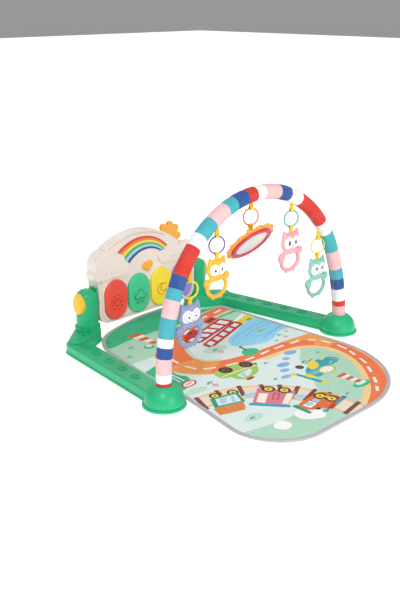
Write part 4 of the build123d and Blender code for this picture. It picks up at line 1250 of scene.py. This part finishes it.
def decal(name, tree, hang, size, outline, lift, material, body, ink_depth=1.4):
    """Thin raised shape that follows the front of an owl; its outline is (x, z) below the hanging point."""
    line = counter_clockwise([(x, z) for x, z, *rest in outline])
    xs = [p[0] for p in line]
    zs = [p[1] for p in line]
    spots = [Vector(p) for p in line]
    pitch = max(0.9, min(2.2, (max(xs) - min(xs)) / 6))
    for i in range(int((max(xs) - min(xs)) / pitch) + 1):
        for j in range(int((max(zs) - min(zs)) / pitch) + 1):
            spots.append(Vector((min(xs) + (i + 0.5) * pitch, min(zs) + (j + 0.5) * pitch)))
    flat, edges, faces, a, b, c = delaunay_2d_cdt(spots, [], [list(range(len(line)))], 1, 0.01)
    inside = {v for face in faces for v in face}
    rank = {v: i for i, v in enumerate(sorted(inside))}
    points = []
    ring = [Vector((p[0], p[1], 0)) for p in line]
    for v in sorted(inside):
        x, z = flat[v]
        world = Vector((hang.x + x * size, hang.y - 60, hang.z + z * size)) * MM
        hit = tree.ray_cast(world, Vector((0, 1, 0)))[0]
        depth = hit.y / MM if hit else hang.y
        near = min((Vector((x, z, 0)) - p).length for p in ring)
        points.append((hang.x + x * size, depth - lift * (1 - math.exp(-near / 0.8) * 0.75), hang.z + z * size))
    front = [tuple(rank[v] for v in face) for face in faces]
    piece = new_piece(name, points, front, material)
    shape = bmesh.new()
    shape.from_mesh(piece.data)
    rim = [e for e in shape.edges if e.is_boundary]
    wall = bmesh.ops.extrude_edge_only(shape, edges=rim)["geom"]
    for item in wall:
        if isinstance(item, bmesh.types.BMVert):
            item.co.y += ink_depth * MM
    low = [item for item in wall if isinstance(item, bmesh.types.BMEdge) and item.is_boundary]
    bmesh.ops.triangle_fill(shape, edges=low, use_dissolve=False)
    bmesh.ops.recalc_face_normals(shape, faces=shape.faces)
    shape.to_mesh(piece.data)
    shape.free()
    piece.data.shade_smooth()
    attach(piece, body)
    return piece


def round_spot(x, z, wide, tall, turn=0.0, steps=20):
    """Ellipse as (x, z) points."""
    return [(p[0], p[1]) for p in oval(x, z, wide, tall, turn, steps)]


def owl_face(name):
    """Outlines, lifts and finishes of an owl's face details."""
    skin = FINISHES["owl_" + name]
    bean = [(x * 1.08, -40.5 + z * 1.12) for x, z, *rest in smooth_ring([(*p, 0) for p in BEAN], 3)]
    parts = [("mask", bean, 0.5, WHITE_FACE)]
    brow = stroke([(-24, -16), (-9, -25), (0, -29), (9, -25), (24, -16)], 1.6, 4)
    parts.append(("brow", brow, 0.5, skin))
    for side, word in ((-1, "left"), (1, "right")):
        if name == "blue":
            parts.append((f"ring_{word}", round_spot(side * 12.5, -40, 11.2, 11.2), 0.8, skin))
            parts.append((f"eye_{word}", round_spot(side * 12.5, -40, 9.9, 9.9), 1.1, WHITE_FACE))
            parts.append((f"pupil_{word}", round_spot(side * 10.5, -41, 3.8, 4.2), 1.4, BLACK_EYE))
        elif name == "mint":
            parts.append((f"ring_{word}", round_spot(side * 12, -41, 9.6, 9.0), 0.8, skin))
            parts.append((f"eye_{word}", round_spot(side * 12, -41.6, 8.0, 7.2), 1.0, WHITE_FACE))
            parts.append((f"pupil_{word}", round_spot(side * 11.5, -39.4, 4.8, 4.2), 1.3, BLACK_EYE))
            parts.append((f"glint_{word}", round_spot(side * 11.5 + 1.4, -38, 1.2, 1.3, 0, 10), 1.5, WHITE_FACE))
        elif name == "pink":
            parts.append((f"pupil_{word}", round_spot(side * 12, -40, 5.0, 6.6, 8 * side), 0.9, BLACK_EYE))
            parts.append((f"glint_{word}", round_spot(side * 12 + 1.6, -37.4, 1.5, 2.0, 0, 12), 1.2, WHITE_FACE))
        else:
            parts.append((f"pupil_{word}", round_spot(side * 12, -41, 3.8, 4.6), 0.9, BLACK_EYE))
            parts.append((f"glint_{word}", round_spot(side * 12 + 1.2, -39.2, 1.1, 1.3, 0, 10), 1.2, WHITE_FACE))
    beak = [(-3.2, -46.5), (3.2, -46.5), (1.2, -51.5), (0, -53), (-1.2, -51.5)]
    parts.append(("beak", beak, 1.6, BEAK if name != "pink" else skin))
    for side, (x, z, radius) in zip(("left", "right"), OWL_WINGS[name]):
        for i in (-1, 0, 1):
            line = [(x - 4.5 + i * 0.6, z + 3.6 * i + 1.5), (x, z + 3.6 * i - 0.6), (x + 4.5 + i * 0.6, z + 3.6 * i + 1.5)]
            parts.append((f"feather_{side}_{i + 2}", stroke(line, 1.1, 3), 0.35, skin))
    return parts


def build_owl(name):
    """Body and face of one owl."""
    x, z, size = TOYS[name]
    hang = toy_place(name) - Vector((0, 0, RING_MAJOR))
    body = owl_body(name, hang, size)
    tree = BVHTree.FromPolygons([v.co.copy() for v in body.data.vertices], [p.vertices[:] for p in body.data.polygons])
    for part, outline, lift, material in owl_face(name):
        decal(f"owl_{name}_{part}", tree, hang, size, outline, lift, material, "toy_" + name)
    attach(body, "toy_" + name)
    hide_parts("owl_" + name)


for owl in OWL_WINGS:
    build_owl(owl)


# ---------------------------------------------------------------------------
# Rainbow stripes on the panel
# ---------------------------------------------------------------------------

RAINBOW_OUTER = (-27.0, 122.0, 133.5)
RAINBOW_INNER = (-5.0, 131.5, 85.5)
STRIPES = ("E5402B", "F28C2B", "F7E24A", "4DB873", "9FDDF0", "3D459A")


def stripe_at(x, z):
    """Index of the rainbow stripe at a place on the panel."""
    for index in range(len(STRIPES)):
        share = (index + 0.96) / len(STRIPES)
        cx, cz, radius = [a + (b - a) * share for a, b in zip(RAINBOW_OUTER, RAINBOW_INNER)]
        if math.hypot(x - cx, z - cz) > radius:
            return index
    return len(STRIPES) - 1


def build_rainbow():
    """Six raised stripes, each in its own colour."""
    mesh = nodes["rainbow"].data.copy()
    mesh.name = "rainbow_stripes"
    mesh.materials.clear()
    for tone in STRIPES:
        mesh.materials.append(plastic("stripe " + tone, tone, rough=0.4, spread=0.04))
    piece = bpy.data.objects.new("rainbow_stripes", mesh)
    bpy.context.scene.collection.objects.link(piece)
    outwards(piece, merge=0.00001)
    for face in mesh.polygons:
        face.material_index = stripe_at(face.center.x / MM, face.center.z / MM)
    mesh.shade_flat()
    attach(piece, "panel")
    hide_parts("rainbow")


build_rainbow()


# ---------------------------------------------------------------------------
# Raised lines: key figures, panel rims, cloud dots, rail badges, foot slot strips; their darker tones are painted
# shade
# ---------------------------------------------------------------------------

PANEL_FRONT = COLUMN_Y - 20.0
KEY_FRONT = PANEL_FRONT - 9.0
KEY_Z = 95.5
# Each key: its x and the darker tone of its figure, painted shade that stands in for the shading of the raised relief.
KEY_FIGURE_SHADES = {"red": (-121.0, "B93226"), "green": (-41.0, "23885B"), "yellow": (41.0, "D2A30E"), "purple": (121.0, "7562BE")}


def ridges(name, lines, place, material, body, sink=0.6):
    """Rounded raised lines on a face; each is (points, closed, width, height)."""
    points, faces = [], []
    for line, is_closed, width, height in lines:
        first = len(points)
        count = len(line)
        for i, point in enumerate(line):
            after = line[(i + 1) % count] if is_closed else line[min(i + 1, count - 1)]
            before = line[i - 1] if is_closed else line[max(i - 1, 0)]
            run = Vector((after[0] - before[0], after[1] - before[1])).normalized()
            for across, up in [(width / 2 * math.cos(a), height * math.sin(a)) for a in
                               [math.pi * k / 6 for k in range(7)]] + [(-width / 2, -sink), (width / 2, -sink)]:
                points.append(place(point[0] - run.y * across, point[1] + run.x * across, up))
        faces += row_faces(count, 9, is_closed, first)
        if not is_closed:
            faces.append(tuple(first + v for v in range(8, -1, -1)))
            faces.append(tuple(first + (count - 1) * 9 + v for v in range(9)))
    piece = new_piece(name, points, faces, material)
    outwards(piece)
    piece.data.shade_smooth()
    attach(piece, body)
    return piece


def knobs(name, spots, place, height, material, body):
    """Small rounded dots on a face; each is (across, up, radius)."""
    shape = bmesh.new()
    for across, up, radius in spots:
        middle = place(across, up, 0)
        flat = (place(across, up, 1) - middle)
        radii = [height if abs(n) > 0.5 else radius for n in flat]
        ball(shape, middle, radii, 14, 8)
    mesh = bpy.data.meshes.new(name)
    shape.to_mesh(mesh)
    shape.free()
    mesh.materials.append(material)
    mesh.shade_smooth()
    piece = bpy.data.objects.new(name, mesh)
    bpy.context.scene.collection.objects.link(piece)
    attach(piece, body)


def circle_line(x, z, radius, steps=32, start=0.0, end=360.0):
    """Points of a circle or of a part of it."""
    span = math.radians(end - start)
    whole = abs(end - start) >= 360
    count = steps if whole else steps + 1
    return [(x + radius * math.cos(math.radians(start) + span * i / steps),
             z + radius * math.sin(math.radians(start) + span * i / steps)) for i in range(count)]


def key_lines(name, x):
    """Figure of one key as raised lines and dots."""
    z = KEY_Z
    if name == "red":
        return ([(circle_line(x, z, 9), True, 2.4, 1.0)],
                [(px, pz, 2.6) for px, pz in circle_line(x, z, 19.5, 9)])
    if name == "green":
        puffs = [(x - 18, z - 6), (x - 17, z + 3), (x - 8, z + 6), (x - 2, z + 15), (x + 9, z + 13),
                 (x + 13, z + 4), (x + 20, z - 2), (x + 17, z - 8), (x, z - 9), (x - 12, z - 9)]
        cloud = [tuple(p)[:2] for p in smooth_ring([(*p, 0) for p in puffs], 4)]
        drops = [([(x + d - 1.5, z - 22), (x + d + 1.5, z - 15)], False, 3.2, 1.0) for d in (-9, 1, 11)]
        return [(cloud, True, 2.2, 1.0)] + drops, []
    if name == "yellow":
        outer = circle_line(x, z, 16.5, 26, 70, 345)
        inner = circle_line(x + 6, z + 4, 11.5, 20, 325, 95)
        return [(outer, False, 2.2, 1.0), (inner, False, 2.2, 1.0)], [(x + 12, z + 14, 2.2)]
    star = []
    for i in range(10):
        radius = 17 if i % 2 == 0 else 8.5
        turn = math.radians(90 + 36 * i)
        star.append((x + radius * math.cos(turn), z + radius * math.sin(turn)))
    return [(star, True, 2.2, 1.0)], []


def build_key_figures():
    """Moulded figures on the four keys, coloured a darker tone of each key as painted shade of their relief."""
    for name, (x, tone) in KEY_FIGURE_SHADES.items():
        # Painted shade: the figure and its dots take a darker copy of the key colour.
        ink_and_shade = plastic(name + " figure", tone, rough=0.42)
        lines, dots = key_lines(name, x)

        def on_key(across, up, out):
            return Vector((across, KEY_FRONT - 1.2 - out * 0.9, up))

        ridges(f"key_{name}_figure", lines, on_key, ink_and_shade, "key_" + name, sink=1.4)
        if dots:
            knobs(f"key_{name}_dots", dots, on_key, 1.6, ink_and_shade, "key_" + name)


def build_panel_trim():
    """Rims round the lower box and the crown, and the dots of the clouds, in a darker cream that is painted shade of
    their relief.
    """
    # Painted shade: rims and cloud dots take a darker copy of the cream moulding.
    trim_shade = plastic("panel trim", "DCCBBB", rough=0.45, spread=0.03)

    def on_panel(across, up, out):
        return Vector((across, PANEL_FRONT - out, up))

    half, low, corner = 166.0, 48.0, 24.0
    left = [(-half, 160.0), (-half, 110.0), (-half, low + corner)]
    turn_left = circle_line(-half + corner, low + corner, corner, 8, 180, 270)
    turn_right = circle_line(half - corner, low + corner, corner, 8, 270, 360)
    right = [(half, 110.0), (half, 163.0)]
    box = left + turn_left[1:] + [(-80.0, low), (0.0, low), (80.0, low)] + turn_right + right
    crown = circle_line(-36.5, 57.0, 210.0, 40, 119, 63)
    ridges("panel_rims", [(box, False, 2.6, 1.3), (crown, False, 3.0, 1.4)], on_panel, trim_shade, "panel")

    def on_cloud(across, up, out):
        return Vector((across, PANEL_FRONT - 5.0 - out, up))

    dots = [(-151, 178, 2.8), (-134, 177, 2.8), (-117, 178, 2.8), (84, 180, 2.6), (98, 179, 2.6), (112, 180, 2.6)]
    knobs("cloud_dots", dots, on_cloud, 1.8, trim_shade, "panel")


def rail_spot(offset, side):
    """Middle of a rail at a distance in front of the column axes."""
    knee_y = COLUMN_Y - 45.0
    share = (offset + 45.0) / (DOME_Y - knee_y)
    return Vector((side * (272.0 + (DOME_X - 272.0) * share), COLUMN_Y + offset, 0))


def build_badges():
    """Raised badges on top of both rails with darker green edges, and dark strips in the slots of their feet; both
    darker tones are painted shade.
    """
    # Painted shade: the badge edges take a darker copy of the green moulding, and the slot strips stand in for the
    # shade inside the slots.
    ink_and_shade = plastic("badge edge", "1FA06C", rough=0.34)
    dark = plastic("painted slot shade", "17332A", rough=0.6)
    lines = []
    slots = []
    for side in (-1, 1):
        run = (rail_spot(-300, side) - rail_spot(-60, side)).normalized()
        for offset in (-85.0, -142.0, -199.0, -256.0, -313.0):
            middle = rail_spot(offset, side)
            ring = []
            for step in range(40):
                turn = 2 * math.pi * step / 40
                bulge = 1 + 0.07 * math.cos(6 * turn)
                along, across = 13.0 * bulge * math.cos(turn), 8.2 * bulge * math.sin(turn)
                ring.append((middle.x + run.x * along - run.y * across, middle.y + run.y * along + run.x * across))
            lines.append((ring, True, 2.0, 0.9))
        x, y = side * (201.0 + 42.0), COLUMN_Y - 34.0
        slots.append(([(x - 3.0, y + side * 1.7), (x + 3.0, y - side * 1.7)], False, 3.0, 0.4))
    ridges("rail_badges", lines, lambda x, y, up: Vector((x, y, 30.0 + up)), ink_and_shade, "base")
    ridges("foot_slot_shades", slots, lambda x, y, up: Vector((x, y, 36.0 + up)), dark, "base")


build_key_figures()
build_panel_trim()
build_badges()


# ---------------------------------------------------------------------------
# Stage, lights and camera
# ---------------------------------------------------------------------------

def build_stage():
    """Pale floor, studio lights and a bright world."""
    bpy.ops.mesh.primitive_plane_add(size=30, location=(0, 0, -0.0002))
    floor = bpy.context.object
    floor.name = "floor"
    made, tree, shader, place = new_material("studio floor")
    cloudy = noise_node(tree, place, 1.5, 2.0)
    tint = mixed(tree, cloudy, (0.93, 0.93, 0.93, 1), (0.96, 0.96, 0.96, 1))
    tree.links.new(tint, shader.inputs["Base Color"])
    shader.inputs["Roughness"].default_value = 0.9
    shader.inputs["Emission Color"].default_value = (1, 1, 1, 1)
    shader.inputs["Emission Strength"].default_value = 0.55
    floor.data.materials.append(made)
    world = bpy.data.worlds.new("studio")
    world.use_nodes = True
    sky = world.node_tree
    way = add(sky, "ShaderNodeSeparateXYZ", {0: sky.nodes.new("ShaderNodeTexCoord").outputs["Generated"]})
    glow = ranged(sky, way.outputs[2], -0.1, 0.9, 0.42, 1.0)
    sky.links.new(mixed(sky, glow, (0, 0, 0, 1), (1, 1, 1, 1)), sky.nodes["Background"].inputs["Color"])
    sky.nodes["Background"].inputs["Strength"].default_value = 0.68
    bpy.context.scene.world = world
    for name, place, aim, size, power in (
        ("key", (-1.9, -1.2, 2.6), (0, 0, 0.1), 1.0, 35),
        ("fill", (-0.3, -3.0, 1.0), (0, 0.1, 0.15), 1.6, 30),
        ("rim", (1.6, 2.2, 2.4), (0, 0, 0.15), 1.6, 15),
    ):
        data = bpy.data.lights.new(name, "AREA")
        data.size = size
        data.energy = power
        lamp = bpy.data.objects.new(name, data)
        lamp.location = place
        lamp.rotation_euler = (Vector(aim) - Vector(place)).to_track_quat("-Z", "Y").to_euler()
        bpy.context.scene.collection.objects.link(lamp)


def build_camera():
    """Camera low at the front left corner."""
    turn, dip = math.radians(45.28), math.radians(19.05)
    look = Vector((math.cos(dip) * math.sin(turn), math.cos(dip) * math.cos(turn), -math.sin(dip)))
    data = bpy.data.cameras.new("camera")
    data.lens = 52.84
    data.sensor_width = 36.0
    data.shift_y = -0.003
    camera = bpy.data.objects.new("camera", data)
    camera.location = (-1.53517, -1.37812, 0.86849)
    camera.rotation_euler = look.to_track_quat("-Z", "Y").to_euler()
    bpy.context.scene.collection.objects.link(camera)
    bpy.context.scene.camera = camera


build_stage()
build_camera()
bpy.context.scene.view_settings.view_transform = "Standard"
